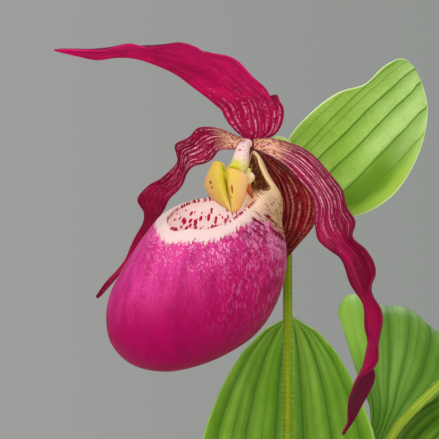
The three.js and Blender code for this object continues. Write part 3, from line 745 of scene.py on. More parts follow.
def paint_tepal_foot(paint, across, along, reach):
    """A cream foot with a ragged end, dotted with crimson."""
    ragged = paint.streaks(across * 16, along * 18, 3, 3, 0.7)
    foot = (along + (ragged - 0.5) * 0.16).step(reach, reach * 0.4)
    paint.coat(foot * 0.85, rgb(246, 200, 160))
    dots = paint.cells(paint.join(across * 14, along * 95, 0), 1)
    dense = paint.streaks(across * 9, along * 60, 2, 2)
    paint.coat(dots.step(0.54, 0.4) * dense.step(0.34, 0.42) * foot, rgb(150, 4, 40))


def tepal_material(name, body, deep, stripe, **settings):
    """A crimson blade with streaks along it, thin broken stripes, painted shade towards both margins
    and a fine margin.
    """
    look = SimpleNamespace(**{**TEPAL_LOOK, **settings})
    paint = Paint(name, Specular_IOR_Level=0.1, Subsurface_Weight=0.4, Subsurface_Scale=0.0015,
                  Subsurface_Radius=(1, 0.25, 0.45))
    across, along = paint.along()
    wander = (paint.streaks(across * 3, along * 7, 0, 2) - 0.5) * 0.05
    strength, ribs, window = tepal_stripes(paint, across, along, wander, look)
    cloud = paint.grain(paint.place(), 80, 3)
    blotch = paint.streaks(across * 4, along * 16, 5, 2)
    broad = paint.streaks(across * 20, along * 5, 8, 2)
    fine = paint.streaks(across * 80, along * 7, 0, 3, 0.6)
    paint.base(cloud.step(0.35, 0.65), body, deep)
    paint.coat(along.step(look.deep_end, 0.05) * 0.85, look.low)
    paint.coat(blotch.step(0.45, 0.7) * 0.4, look.dark)
    if look.upper:
        paint.coat(across.step(0.3, 0.8) * along.step(0.25, 0.45) * 0.8, look.upper)
        paint.coat(across.step(0.8, 1.0) * along.step(0.34, 0.26) * 0.7, look.dark)
    paint.coat(window * 0.4, deep)
    paint.coat(broad.step(0.48, 0.66) * 0.5, look.dark)
    paint.coat(broad.step(0.46, 0.3) * 0.4, look.edge)
    paint.coat(fine.step(0.48, 0.72) * 0.5, look.dark)
    paint.coat(fine.step(0.47, 0.25) * 0.45, look.edge)
    if look.foot:
        paint_tepal_foot(paint, across, along, look.foot)
    paint.coat(strength * look.stripe_share, stripe)
    # Painted shade: both margins darker
    paint.coat(abs(across - 0.5 + wander * 2).step(0.36, 0.5) * look.shade, look.dark)
    paint.coat(abs(across - 0.5).step(0.488, 0.5) * 0.15, look.edge)
    return paint.finish(0.45 + fine * 0.2, ribs * 0.35 + fine * 0.6 + cloud * 0.3, 0.7, 0.0004)


def tepal_back_material():
    """The outside of a tepal: duller, with raised veins."""
    paint = Paint("tepal back", Specular_IOR_Level=0.15, Subsurface_Weight=0.05,
                  Subsurface_Scale=0.001)
    across, along = paint.along()
    deep = rgb(84, 0, 32)
    fine = paint.streaks(across * 70, along * 8, 0, 3, 0.6)
    wave = (across * BACK_VEINS * TURN).cos() * 0.5 + 0.5
    paint.base(fine.step(0.3, 0.75), rgb(118, 4, 52), deep)
    paint.coat(wave.step(0.8, 1.0) * 0.4, deep)
    return paint.finish(0.5 + fine * 0.15, wave + fine * 0.4, 0.5, 0.0003)


def rim_teeth(paint, turn):
    """Uneven dashes round the pouch's rim."""
    dashes = paint.streaks(turn * 150, 0, 0, 1)
    groups = paint.streaks(turn * 34, 0, 6, 2)
    return (dashes + groups * 0.7).step(0.8, 0.87)


def pouch_fields(paint):
    """What the pouch's outside is painted by: places, the depth below the rim and below the pale
    band, and where it is pale, near the band, far from it, on the right, high up or patchy."""
    at = SimpleNamespace(turn=paint.along()[0], spot=paint.place(), drop=paint.value("drop"),
                         cream=paint.value("cream"))
    at.x, at.y, at.z = paint.split(at.spot)
    at.around = at.turn * 150
    at.slant = at.x * 0.64 + at.z * 0.77
    at.length = at.x * 0.77 - at.z * 0.64
    at.below = at.drop - paint.value("band")
    comb = paint.streaks(at.around * 0.9, at.drop * 0.12, 0, 4, 0.75) - 0.5
    frost = paint.grain(at.spot, 1100, 3, 0.7) - 0.5
    ragged = at.below + comb * 8 + frost * 3.5
    cloud = paint.grain(at.spot, 38, 3) - 0.5
    at.pale = ragged.step(0.9, -0.6)
    at.near = ragged.step(22.0, 0.0)
    at.right = at.x.step(-0.034, -0.006)
    at.far = ragged.step(50.0, 6.0) * at.right
    # High up on the left the skin is paler, partly its own colour and partly painted light from above
    at.upper = (at.z + cloud * 0.016 + at.x * -0.2).step(0.322, 0.345)
    at.patchy = paint.grain(at.spot, 190, 2).step(0.38, 0.62)
    return at


def paint_pouch_skin(paint, at):
    """Magenta with dark clouds and a net of dark veins, paler high up on the left, partly in its own
    colour and partly as painted light from above. Gives the skin's relief.
    """
    # Paler upper left: partly its own colour, partly painted light
    paint.base(at.upper, rgb(172, 0, 86), rgb(204, 54, 136))
    paint.coat(at.right * 0.6, rgb(206, 0, 100))
    shade = paint.streaks(at.around * 0.22, at.drop * 0.05, 3, 3, 0.55)
    paint.coat(shade.step(0.4, 0.66) * 0.55, rgb(150, 0, 74))
    warp = paint.streaks(at.around * 0.12, at.drop * 0.1, 5, 2) - 0.5
    where = paint.join(at.around * 0.36 + warp * 2.2, at.drop * 0.075 + warp * 1.2, 0)
    net = paint.cells(where, 1, "DISTANCE_TO_EDGE")
    veined = paint.streaks(at.around * 0.1, at.drop * 0.1, 9, 2).step(0.42, 0.62)
    paint.coat(net.step(0.1, 0.0) * (veined * 0.22 + at.right * 0.25), rgb(104, 0, 44))
    return net.step(0.0, 0.3) * 0.25 + shade * 0.4


def paint_pouch_flecks(paint, at):
    """Pale flecks and spots, dark strands and a fine grit, whose height it gives."""
    flecks = paint.grain(paint.stretch(at.spot, 1, 1, 0.6), 1500, 4, 0.75)
    much = (at.near * at.near * 0.09 + at.far * 0.08 + at.upper * 0.02) * (at.patchy * 0.7 + 0.3)
    shown = at.near * 0.4 + at.far * 0.3 + at.upper * 0.15 + 0.01
    paint.coat((flecks + much).step(0.59, 0.68) * shown, rgb(246, 160, 204))
    spots = paint.cells(paint.join(at.around * 0.8 + at.drop * 0.4, at.drop * 0.26, 0), 1)
    paint.coat(spots.step(0.5, 0.25) * at.far * (at.patchy * 0.45 + 0.1), rgb(240, 130, 186))
    strand = paint.streaks(at.slant * 900, at.length * 170, 7, 3, 0.6)
    paint.coat(strand.step(0.53, 0.6) * at.far * (at.near * 0.3 + 0.3), rgb(128, 0, 54))
    grit = paint.grain(at.spot, 1300, 3, 0.7)
    paint.coat(grit.step(0.55, 0.75) * (at.upper * 0.16 + 0.1), rgb(214, 16, 128))
    paint.coat(grit.step(0.5, 0.25) * 0.45, rgb(120, 0, 56))
    return grit


def paint_pouch_band(paint, at):
    """The ragged pale band, with strokes at its lower edge, dashes at the rim and dots."""
    white = paint.mix(at.cream, rgb(222, 194, 192), rgb(218, 174, 122))
    white = paint.mix(at.cream * at.drop.step(6.0, 1.0) * 0.6, white, rgb(240, 214, 168))
    rosy = paint.grain(at.spot, 120, 3).step(0.5, 0.75)
    paint.coat(at.pale, paint.mix(rosy * 0.35, white, rgb(232, 182, 168)))
    strokes = paint.streaks(at.slant * 1000, at.length * 160, 4, 2, 0.6)
    zone = at.below.step(-4.0, -1.5) * at.below.step(9.0, 3.0) * at.cream.step(0.05, 0.3)
    paint.coat(strokes.step(0.52, 0.57) * zone, rgb(134, 0, 52))
    dashed = at.x.step(-0.022, -0.019) * at.y.step(-0.030, -0.034) * at.drop.step(1.8, 0.6)
    paint.coat(rim_teeth(paint, at.turn) * dashed, rgb(140, 0, 50))
    dots = paint.cells(at.spot, 760).step(0.44, 0.28) * paint.grain(at.spot, 190, 2).step(0.38, 0.48)
    dotted = at.cream.step(0.5, 1.0) * at.drop.step(2.5, 5.0) * at.pale * 0.85
    paint.coat(dots * dotted, rgb(96, 30, 44))


def pouch_outer_material():
    """Magenta skin below a ragged pale band, with flecks and dark veins that run down it."""
    paint = Paint("pouch outside", Specular_IOR_Level=0.09, Subsurface_Weight=0.06,
                  Subsurface_Scale=0.0015)
    at = pouch_fields(paint)
    relief = paint_pouch_skin(paint, at)
    grit = paint_pouch_flecks(paint, at)
    paint_pouch_band(paint, at)
    return paint.finish(0.4 + grit * 0.2, relief + grit * 0.6, 0.6, 0.0003)


def pouch_inner_material():
    """The pouch's inside: pinkish white with crimson blotches, brown and mottled by the claw. Its faint
    glow in its own colour is painted light, for light coming through the wall.
    """
    paint = Paint("pouch inside", Specular_IOR_Level=0.2, Subsurface_Weight=0.7,
                  Subsurface_Scale=0.004, Subsurface_Radius=(1, 0.9, 0.95), Emission_Strength=0.16)
    turn = paint.along()[0]
    spot = paint.place()
    drop = paint.value("drop")
    cream = paint.value("cream")
    paint.base(paint.grain(spot, 130, 3).step(0.35, 0.7), rgb(255, 240, 248), rgb(252, 220, 232))
    paint.coat(cream * 0.9, rgb(250, 222, 160))
    where = paint.join(turn * 165, drop * 0.42, 0)
    kind = paint.split(paint.cells(where, 1, "F1", 1))[0]
    keep = (drop.step(5.0, 11.5) * 0.95 + 0.03 - kind).step(0.0, 0.05)
    blots = (paint.cells(where, 1) - drop.step(2.0, 8.0) * 0.12).step(0.4, 0.3)
    paint.coat(blots * keep * (1 - cream), rgb(172, 0, 74))
    dashed = drop.step(2.2, 1.0) * cream.step(0.6, 0.2)
    paint.coat(rim_teeth(paint, turn) * dashed, rgb(150, 0, 66))
    mottle = paint.grain(spot, 700, 4, 0.7)
    hairy = paint.value("brown") * paint.split(spot)[2].step(0.3572, 0.3605)
    paint.coat(hairy, paint.ramp(mottle, (0.4, rgb(58, 22, 8)), (0.54, rgb(124, 66, 30)),
                                 (0.68, rgb(232, 186, 118))))
    # Painted light: the inside glows faintly in its own colour, for light coming through the wall, but
    # not where it is hairy
    painted_glow = paint.mix(hairy, paint.colour, rgb(0, 0, 0))
    paint.feed(paint.shader.inputs["Emission Color"], painted_glow)
    return paint.finish(0.5 + mottle * 0.15, mottle, 0.3, 0.0002)


def pouch_rim_material():
    """The rounded edge: pale, with short crimson dashes right across it."""
    paint = Paint("pouch rim", Specular_IOR_Level=0.2)
    cream = paint.value("cream")
    paint.base(cream, rgb(240, 208, 204), rgb(238, 208, 156))
    paint.coat(rim_teeth(paint, paint.along()[0]) * cream.step(0.6, 0.2), rgb(140, 0, 50))
    return paint.finish(0.45, paint.grain(paint.place(), 800, 2), 0.3, 0.0002)


def column_material():
    """White with pink blotches above, yellow-green towards the shield, orange-brown stigma."""
    paint = Paint("column", Specular_IOR_Level=0.2, Subsurface_Weight=0.12, Subsurface_Scale=0.0015)
    spot = paint.place()
    x, _, z = paint.split(spot)
    cloud = paint.grain(spot, 330, 3)
    low = z.step(0.3712, 0.3668)
    dots = paint.cells(spot, 1500).step(0.34, 0.22) * paint.grain(spot, 500, 1).step(0.5, 0.58)
    anther = ((x + 0.0124) * 700) ** 2.0 + ((z - 0.3634) * 700) ** 2.0
    stigma = z.step(0.3622, 0.3610) * x.step(-0.0155, -0.0145)
    paint.base(low, rgb(246, 222, 218), rgb(226, 216, 130))
    paint.coat(low * x.step(-0.0145, -0.0165), rgb(208, 204, 52))
    paint.coat(cloud.step(0.5, 0.62) * z.step(0.3695, 0.372) * 0.85, rgb(206, 96, 124))
    paint.coat(dots * x.step(-0.0165, -0.0145) * 0.8, rgb(120, 20, 50))
    paint.coat(anther.step(2.2, 1.5), rgb(244, 216, 170))
    paint.coat(stigma, rgb(204, 110, 46))
    paint.coat(z.step(0.3600, 0.3575) * 0.7 * stigma, rgb(150, 54, 30))
    return paint.finish(0.45, cloud, 0.4, 0.0002)


def staminode_material():
    """Yellow, greenish along the cleft with painted shade darkening it, peach at the margin, with a few
    crimson marks.
    """
    paint = Paint("staminode", Specular_IOR_Level=0.22, Subsurface_Weight=0.1,
                  Subsurface_Scale=0.0015)
    spot = paint.place()
    side = paint.value("side")
    down = paint.value("share")
    cloud = paint.grain(spot, 260, 3)
    edge = abs(side + (cloud - 0.5) * 0.3)
    cleft = abs(side + (cloud - 0.5) * 0.06)
    paint.base(edge.step(0.5, 0.95), rgb(214, 178, 80), rgb(220, 172, 112))
    paint.coat(edge.step(0.45, 0.0) * down.step(1.0, 0.4) * 0.9, rgb(190, 174, 16))
    paint.coat(down.step(0.6, 0.95) * 0.6, rgb(222, 188, 114))
    # Painted shade darkening the cleft
    paint.coat(cleft.step(0.1, 0.02) * down.step(0.16, 0.26) * 0.8, rgb(112, 84, 14))
    for centre_side, centre_down, wide, tall in STAMINODE_MARKS:
        gap = ((side - centre_side) / wide) ** 2.0 + ((down - centre_down) / tall) ** 2.0
        mark = (gap + (paint.grain(spot, 1500, 2) - 0.5) * 1.6).step(1.1, 0.7)
        paint.coat(mark * 0.9, rgb(150, 30, 26))
    return paint.finish(0.4 + cloud * 0.15, cloud, 0.3, 0.0002)


def hair_material(name, one, other):
    """A hair's two colours, which change from place to place."""
    paint = Paint(name, Specular_IOR_Level=0.3)
    paint.base(paint.grain(paint.place(), 300, 2), one, other)
    return paint.finish(0.5)


# The plant's measures, in millimetres

STEM_TOP = 349.2
STEM_PATH = [(-3, 4, 75), (-2.5, 4.5, 140), (-0.5, 5, 210), (0.3, 5, 270), (0.3, 5, STEM_TOP)]
SIDE_STEM_PATH = [(26, 29, 75), (26.5, 30, 140), (27, 32.5, 205), (29.5, 35, 250),
                  (36.6, 37.5, 274.6), (53.5, 43, 292.4), (68, 48, 305)]
OVARY_PATH = [(0.3, 5, STEM_TOP + 0.6), (1.8, 6, 358), (2, 4.6, 368), (-1, 0.8, 374.8),
              (-6, -5.4, 375.3), (-9.6, -8.5, 374.7), (-11.7, -10.3, 374.8)]

POT_HEIGHT = 112
POT_FLOOR = 6
POT_WALL = 5
POT_FOOT_RADIUS = 44
POT_NECK_RADIUS = 58
COLLAR_FOOT = 92
COLLAR_RADIUS = 66
# How far the pot's corners are cut off before they are rounded
POT_EDGE = 1.5
DRAIN_HOLES = 3
DRAIN_RADIUS = 6
DRAIN_REACH = 24
SOIL_LEVEL = 100
SOIL_RADIUS = 54
SOIL_RINGS = 36
GRIT_COUNT = 900
GRIT_BIG_COUNT = 230

# The sheath's half angle is in radians
SHEATH_HALF_ANGLE = 2.5
SHEATH_CLEARANCE = 0.7
LEAF_FOLDS = 6
LEAF_FOLD_DEPTH = 0.42
LOBED_FOLD_DEPTH = 0.2
LEAF_RIPPLE = 1.1
# The radius of the channel that a leaf's blade is bent to
LEAF_CHANNEL_RADIUS = 70
# Past a leaf's highest point its channel opens and turns over, wholly so where the part of its
# inner side's direction that points outwards is this long
LEAF_TURNOVER_FALL = 0.5
# Each vein's place across the leaf and its strength, then how wide the painted shade along a vein's
# groove and its dark line are, all as shares of the leaf's width
LEAF_VEINS = [(0.083, 0.8), (0.16, 0.5), (0.25, 1), (0.345, 0.3), (0.417, 0.9), (0.583, 1),
              (0.66, 0.35), (0.75, 0.9), (0.83, 0.5), (0.917, 0.8)]
VEIN_GROOVE_SHADE = 0.064
VEIN_LINE = 0.01
# Millimetres from the bract's middle line, where x - z is -351.1, and strength
BRACT_MIDDLE = 351.1
BRACT_VEINS = [(-17, 0.3), (-13.1, 0.6), (-10.6, 0.4), (-6.1, 1), (0.3, 1), (8.4, 0.95), (14.7, 0.5)]
# How many raised veins a tepal has on its outside
BACK_VEINS = 9

# Each station of a tepal or the bract is a place on one edge, a place on the other and how deeply
# the blade is cupped there
DORSAL_SEPAL = [
    ((-12.7, -7.2, 375.6), (-8.9, -11.8, 375.6), 0.2), ((-16.5, -5.5, 378.5), (-3.5, -12.5, 378.5), 1),
    ((-20, -6, 382.5), (-1.6, -15.5, 383.5), 2), ((-22, -9, 386), (-2.4, -18, 388), 2.5),
    ((-23.7, -12, 387.5), (-5, -19.5, 389.5), 2.5), ((-28, -18, 390.5), (-10.5, -25, 395), 2.5),
    ((-32, -23, 393.5), (-16, -29, 400), 2.5), ((-36, -28, 396), (-22.5, -33, 402.5), 2),
    ((-41, -33, 398.5), (-28.5, -37, 404), 2), ((-48, -38, 400.5), (-36, -41, 405), 1.5),
    ((-55, -42.5, 401), (-45.5, -45, 404.5), 1), ((-61, -46, 399.9), (-54, -47.5, 404), 1),
    ((-67, -48.5, 401), (-62.5, -49.5, 403), 0.8), ((-74, -50, 402.7), (-74, -50, 403.1), 0),
]
# Places along the upper edge, lengths along it and how far it is pulled up there
DORSAL_NICKS = ((0.266, 0.014, 1.5), (0.31, 0.02, -1.9), (0.6, 0.014, -0.6), (0.68, 0.035, 0.4),
                (0.765, 0.02, -0.5), (0.81, 0.02, 0.4), (0.885, 0.025, -0.5))
# How near the upper edge a nick begins, where the blade runs from -1 to 1
NICK_START = 0.65
# How far the ripple of the second edge is ahead of the first one's, in radians
RIPPLE_LEAD = 1.9
LEFT_PETAL = [
    ((-12.4, -9.3, 373), (-12.4, -9.3, 376.3), 0), ((-16.5, -8, 373), (-17, -8, 377.5), 0.5),
    ((-20.5, -6, 373), (-21.5, -6, 379.5), 1), ((-23, -4, 372.5), (-26, -2, 380.5), 1.5),
    ((-24.5, -2, 370), (-30, 0, 380), 1.5), ((-27.5, 0, 368.5), (-33, 3, 377), 1.5),
    ((-31, 3, 367.5), (-37, 6, 374.5), 1.5), ((-34.5, 6, 363), (-37, 8, 369), 1.5),
    ((-36.5, 8, 359.5), (-41, 11, 364), 1.5), ((-39.5, 10, 356), (-46.5, 14, 361.5), 1.5),
    ((-42, 12, 352), (-49.5, 16, 357), 1.5), ((-45, 12, 346.5), (-48, 16, 352), 2),
    ((-48.5, 11, 341), (-50, 15, 345), 2), ((-52.5, 10, 336), (-53.5, 13, 337.5), 1),
    ((-56.5, 8, 331.5), (-58, 11, 331.5), 0.5), ((-60, 8, 327), (-61, 9, 328), 0.5),
    ((-63, 8, 323.6), (-63.6, 8, 324.4), 0),
]
RIGHT_PETAL = [
    ((-11, -11.2, 376.3), (-11, -11.2, 373), 0), ((-6.3, -15, 376.5), (-8.5, -13.8, 372), 0.5),
    ((-0.5, -18.5, 375), (-4, -16, 369.5), 1), ((4.5, -21.5, 373), (0, -18.5, 366.5), 1.5),
    ((9.5, -24.5, 369), (3.5, -21, 362.5), 2), ((14, -27, 363.5), (6.5, -23.5, 358.5), 2),
    ((17, -29, 359), (8.5, -25, 353.5), 2), ((18.5, -31, 354), (8, -26, 348.5), 2),
    ((20.5, -33, 349.5), (9, -27, 344), 2), ((20, -34, 345), (13.5, -28, 340), 1.5),
    ((24, -34, 340.5), (16.5, -28, 336.5), 1.5), ((27, -34, 333.5), (19.5, -28, 330.5), 1.5),
    ((26, -34, 327.5), (22, -28, 325), 1.5), ((28.5, -34, 320.5), (24, -28, 320), 1.5),
    ((29, -35, 314.5), (25, -27, 313.5), 1), ((28, -37, 308.5), (25, -25, 309), -1),
    ((26.5, -38, 303.5), (26.5, -22, 304), -2.5), ((21.5, -35, 298), (27.5, -22, 300.5), -2),
    ((19, -31, 293), (26, -23, 294.5), -1), ((19, -28, 289), (23, -23, 289), -0.5),
    ((18.9, -25.8, 284.6), (20.4, -24.6, 284.6), -0.3), ((17, -24, 281.2), (17.6, -24, 280.4), 0),
]
SYNSEPAL = [
    ((-9.5, -11, 373.8), (-12.1, -8, 373.8), 0.2), ((-3.5, -10, 370), (-13, -4, 369.5), 1),
    ((5.5, -10.5, 363.5), (-13.5, -2, 362.5), 3), ((10, -10.5, 355.5), (-14, 1, 355), 4),
    ((8.5, -8.5, 348), (-13.5, 1, 347), 4.2), ((3.5, -6, 342), (-12, 1, 340), 3.5),
    ((-2, -3, 335.5), (-9.5, 0.5, 334), 2.5), ((-5.5, -1.5, 330.2), (-6.8, -1, 330.2), 0),
]
BRACT = [
    ((-1.7, 7.6, 349.4), (2.4, 7.2, 349), 0.2), ((-2.4, 8.6, 353), (4, 7.4, 350.2), 0.8),
    ((-2.2, 10, 360), (8, 7.5, 351), 1.8), ((-2, 10.5, 369), (16, 7, 350.5), 3),
    ((1, 10.5, 377.5), (26, 7, 352), 4), ((8.5, 11.5, 386), (35, 8, 357.5), 4.5),
    ((17.5, 12.5, 392.5), (41.5, 10, 366), 4), ((26.5, 13, 395.5), (46, 12, 376.5), 3),
    ((33, 13.5, 401.5), (47.5, 13.5, 387.5), 2), ((39, 14, 404), (46, 14, 394.5), 1),
    ((42.5, 14.5, 401.8), (43.6, 14.5, 400.6), 0),
]

# height is where the sheath's foot is, heading is in degrees and sheath is its length. Each
# station is out, up, half width and shift.
Leaf = namedtuple("Leaf", "node height heading sheath stations")
MAIN_LEAVES = [Leaf(*values) for values in (
    ("leaf_1", 112, 205, 14, [(9, 26, 9, 0), (27, 52, 21, 0), (56, 74, 27, 0), (88, 78, 22, 0),
                              (112, 66, 9, 0), (121, 56, 0.5, 0)]),
    ("leaf_2", 142, 318, 14, [(8, 28, 9, 0), (24, 56, 23, 0), (52, 82, 29, 0), (85, 92, 24, 0),
                              (110, 84, 11, 0), (122, 74, 0.5, 0)]),
    ("leaf_3", 176, 148, 14, [(7, 26, 9, 0), (21, 50, 22, 0), (48, 74, 27, 0), (80, 82, 21, 0),
                              (104, 74, 9, 0), (114, 66, 0.5, 0)]),
    ("leaf_4", 206, 90, 12, [(5, 22, 12, 0), (10, 40, 26, 0), (14, 58, 31.5, 0), (18, 72, 29, 0),
                             (21, 86, 23.5, 0), (24, 98, 16.5, 0), (26, 106, 9, 0), (27, 111, 0.5, 0)]),
)]
SIDE_LEAVES = [Leaf(*values) for values in (
    ("side_leaf_1", 110, 338, 14, [(8, 26, 9, 0), (24, 50, 20, 0), (50, 68, 25, 0), (78, 70, 19, 0),
                                   (98, 60, 8, 0), (106, 52, 0.5, 0)]),
    ("side_leaf_2", 186, 30, 14, [(7, 28, 9, 0), (17, 61, 21, -1.5), (33.5, 88, 27, -2.5),
                                  (56, 101, 22, -2), (77, 101, 9, 0), (86, 97, 0.5, 0)]),
    ("side_leaf_3", 222, 100, 10, [(6, 26, 6.5, 0), (9, 42, 5, 2), (11, 54, 4.5, 7), (13, 63, 7, 10.5),
                                   (15.5, 71, 11, 12), (19, 84, 18.5, 14.5), (30, 97, 23.5, 17),
                                   (51, 98, 20, 20), (68, 90, 10, 22), (75, 84, 0.5, 23)]),
    ("side_leaf_4", 298, 110, 8, [(4, 20, 6.5, 0), (6, 32, 9, 0), (8, 46, 8, 0), (11, 60, 3.5, 0),
                                  (13, 66, 0.5, 0)]),
)]

POUCH_ROWS = 84
POUCH_COLUMNS = 220
POUCH_WALL = 1.0
# The pouch's half depth from front to back, and how far its depth leans with its width
POUCH_HALF_DEPTH = 25
POUCH_SHEAR = 0.32
# The share of the way down over which the rim eases into the rounded form
POUCH_CLAW_SHARE = 0.11
POUCH_CENTRE = Vector((-28.5, -28, 327.5))
POUCH_LOWEST = Vector((-0.12, -0.1, -1)).normalized()
POUCH_OUTLINE = [(-11, 25.5), (-18, 17), (-23.2, 9), (-28.3, -0.5), (-29.7, -9), (-28, -17),
                 (-21.7, -23.5), (-11.5, -26), (-1, -24.4), (9, -20.4), (17.7, -14.6), (23.7, -6.5),
                 (27.6, 5), (28, 12), (26, 23.5), (25, 29), (22, 35), (14, 36), (3, 33), (-4, 30.5)]
POUCH_RIM = [(-11.3, -10.6, 372.5), (-9.5, -12.6, 371), (-8.8, -14.5, 368.3), (-7.2, -16.5, 364.6),
             (-5.3, -19.5, 361.5), (-6.2, -26, 359.4), (-9.5, -33, 358.6), (-12.4, -38, 355.2),
             (-15.2, -41.5, 352.7), (-20.5, -45.5, 349), (-26, -47.5, 347), (-31.5, -48, 347),
             (-37, -47, 346.5), (-39, -42, 349.8), (-38, -33.5, 351.7), (-35.9, -27, 353.7),
             (-31, -21.5, 356.2), (-25.7, -17, 357.3), (-20.5, -13.5, 359.3), (-16.3, -10, 361.6),
             (-14, -8.4, 366), (-12.4, -9.2, 370.8)]
# At each rim point: the pale band's depth, how cream it is and how brown the inside is
RIM_BAND = [22, 22, 22, 21, 18.5, 14.5, 10.5, 6, 5.2, 4.5, 5, 4.3, 5, 6, 6, 5.5, 5, 5, 6, 8, 12, 18]
RIM_CREAM = [1, 1, 1, 1, 1, 1, 0.8, 0.4, 0.12, 0, 0, 0, 0, 0, 0, 0, 0, 0, 0.1, 0.4, 0.8, 1]
# How deep the brown reaches below the rim, and over how much of that it fades
BROWN_DEPTH = 26
BROWN_FADE = 8
RIM_BROWN = [1, 1, 0.9, 0.8, 0.4, 0.1, 0, 0, 0, 0, 0, 0, 0, 0, 0, 0, 0, 0.1, 0.5, 0.9, 1, 1]

COLUMN_PATH = [(-12.7, -11.1, 375), (-14.1, -12.7, 374.1), (-15.2, -16, 370.6), (-16, -20, 367.2),
               (-17.4, -23.2, 365)]
ANTHER_RADIUS = 1.8
ANTHERS = [(-12.6, -18.8, 363.6), (-16, -15.6, 365.4)]
STIGMA_PATH = [(-14.2, -18.6, 366), (-13.4, -20, 361.5), (-11.6, -21.2, 356.8)]
STAMINODE_TOP = Vector((-20.6, -24, 365.4))
STAMINODE_TIP = Vector((-17.9, -27.4, 352))
STAMINODE_ACROSS = Vector((0.86, -0.51, 0)).normalized()
STAMINODE_HALF_WIDTH = 8.2
# Each mark's middle and half size, to the side and down
STAMINODE_MARKS = [(-0.6, 0.4, 0.06, 0.035), (-0.62, 0.49, 0.05, 0.025), (0.42, 0.48, 0.06, 0.1),
                   (0.3, 0.66, 0.04, 0.025)]
# Where the flower looks
FORWARD = Vector((-0.766, -0.643, 0))


# Surfaces

def tepal_section(stations, ripples, waves, nicks=()):
    """A blade between two edges, cupped, its edges waved by the two ripples. Each nick is a place
    along the second edge, a length along it and how far it pulls that edge upwards."""
    one = Curve([station[0] for station in stations])
    other = Curve([station[1] for station in stations])
    cups = line_of([station[2] for station in stations])

    def middle(t):
        return (one.point(t) + other.point(t)) / 2

    def section(t):
        first, second = one.point(t), other.point(t)
        along = middle(min(t + 0.01, 1)) - middle(max(t - 0.01, 0))
        back = along.cross(second - first).normalized()
        cup = cups.point(t).x
        fade = math.sin(math.pi * t)
        pull = sum(rise * math.exp(-((t - centre) / reach) ** 2) for centre, reach, rise in nicks)

        def place(s):
            turn = TURN * waves * t + (RIPPLE_LEAD if s > 0 else 0)
            wave = ripples[s > 0] * fade * abs(s) ** 3 * math.sin(turn)
            spot = first.lerp(second, (s + 1) / 2) + back * (cup * (1 - s * s) + wave)
            return spot + Vector((0, 0, pull * smooth((s - NICK_START) / (1 - NICK_START))))
        return place
    return section


def upper_side(leaf):
    """Where a leaf's upper face looks: up and towards its stem."""
    angle = math.radians(leaf.heading)
    return (-math.cos(angle), -math.sin(angle), 1)


def lobed_crest(t, s):
    """How far the narrow-necked leaf is moved inwards and down where it folds over."""
    folded = smooth((t - 0.4) / 0.25) * smooth((1 - t) / 0.2)
    if s > 0:
        edge_droop = 3.4 * max((s - 0.8) / 0.2, 0) ** 3
        lobe_rise = 2.0 * math.exp(-((s - 0.76) / 0.2) ** 2)
        inwards = 4 * s ** 4 * smooth((t - 0.7) / 0.08)
        return inwards, folded * (edge_droop - lobe_rise)
    droop = 8.6 * smooth((-s - 0.1) / 0.55)
    edge_droop = 14 * min(max(-s - 0.55, 0), 0.2)
    return 0, folded * (droop + edge_droop)


def share_at_height(stem, height):
    """The share of a rising stem's length at which it reaches a height, found by halving."""
    low, high = 0.0, 1.0
    for _ in range(30):
        half = (low + high) / 2
        if stem.at(half).z < height:
            low = half
        else:
            high = half
    return low


def leaf_phase(seed):
    """Where a leaf's ripple begins, the same random number that its solid has."""
    return 6 * ((seed * 1664525 + 1013904223) % 2 ** 32) / 2 ** 32


def leaf_section(leaf, stem, radius_at, seed, depth=LEAF_FOLD_DEPTH, crest=None):
    """A pleated leaf whose sheath wraps the stem. depth is how deep its pleats are, and crest(t, s)
    may move its places inwards and down."""
    share = share_at_height(stem, leaf.height)
    foot, rise, radius = stem.at(share), stem.heading(share), radius_at(share)
    angle = math.radians(leaf.heading)
    across = rise.cross(Vector((math.cos(angle), math.sin(angle), 0))).normalized()
    away = across.cross(rise)
    wrap = radius + SHEATH_CLEARANCE + BLADE_THICKNESS / 2
    wrapped = SHEATH_HALF_ANGLE * wrap
    rows = [(wrap, 0, wrapped, 0), (wrap, leaf.sheath, wrapped * 0.94, 0), *leaf.stations]
    spine = Curve([foot + away * out + rise * up - across * shift for out, up, _, shift in rows])
    widths = line_of([row[2] for row in rows])
    open_bends = [1 / LEAF_CHANNEL_RADIUS] * (len(rows) - 3)
    bends = line_of([1 / wrap, 1 / wrap, 0.9 / rows[2][2]] + open_bends)
    phase = leaf_phase(seed)

    def section(t):
        inward = spine.slope(t).cross(across).normalized()
        hollow = 1 - 2 * smooth(inward.dot(away) / LEAF_TURNOVER_FALL)
        centre = spine.point(t)
        bend = bends.point(t).x
        width = widths.point(t).x
        grown = smooth((t - 0.3) / 0.2) * smooth((1 - t) / 0.3)
        shown = smooth((t - 0.22) / 0.2) * smooth((1 - t) / 0.12)

        def place(s):
            turn = bend * width * s
            fold = depth * shown * math.cos(TURN * LEAF_FOLDS * (s + 1) / 2)
            wave = LEAF_RIPPLE * grown * abs(s) ** 3 * math.sin(17 * t + phase + 2 * s)
            lift = hollow * (1 - math.cos(turn)) / bend + fold + wave
            spot = centre + across * (math.sin(turn) / bend) + inward * lift
            if crest:
                inwards, down = crest(t, s)
                spot -= across * inwards + Vector((0, 0, down))
            return spot
        return place
    return section


# The outline of the rounded form as pairs of an angle and a reach
OUTLINE = sorted((math.atan2(point.z, point.x), math.hypot(point.x, point.z)) for point in (
    Curve([(x, 0, z) for x, z in POUCH_OUTLINE], closed=True).at(i / 180) for i in range(180)))
OUTLINE_ANGLES = [angle for angle, _ in OUTLINE]


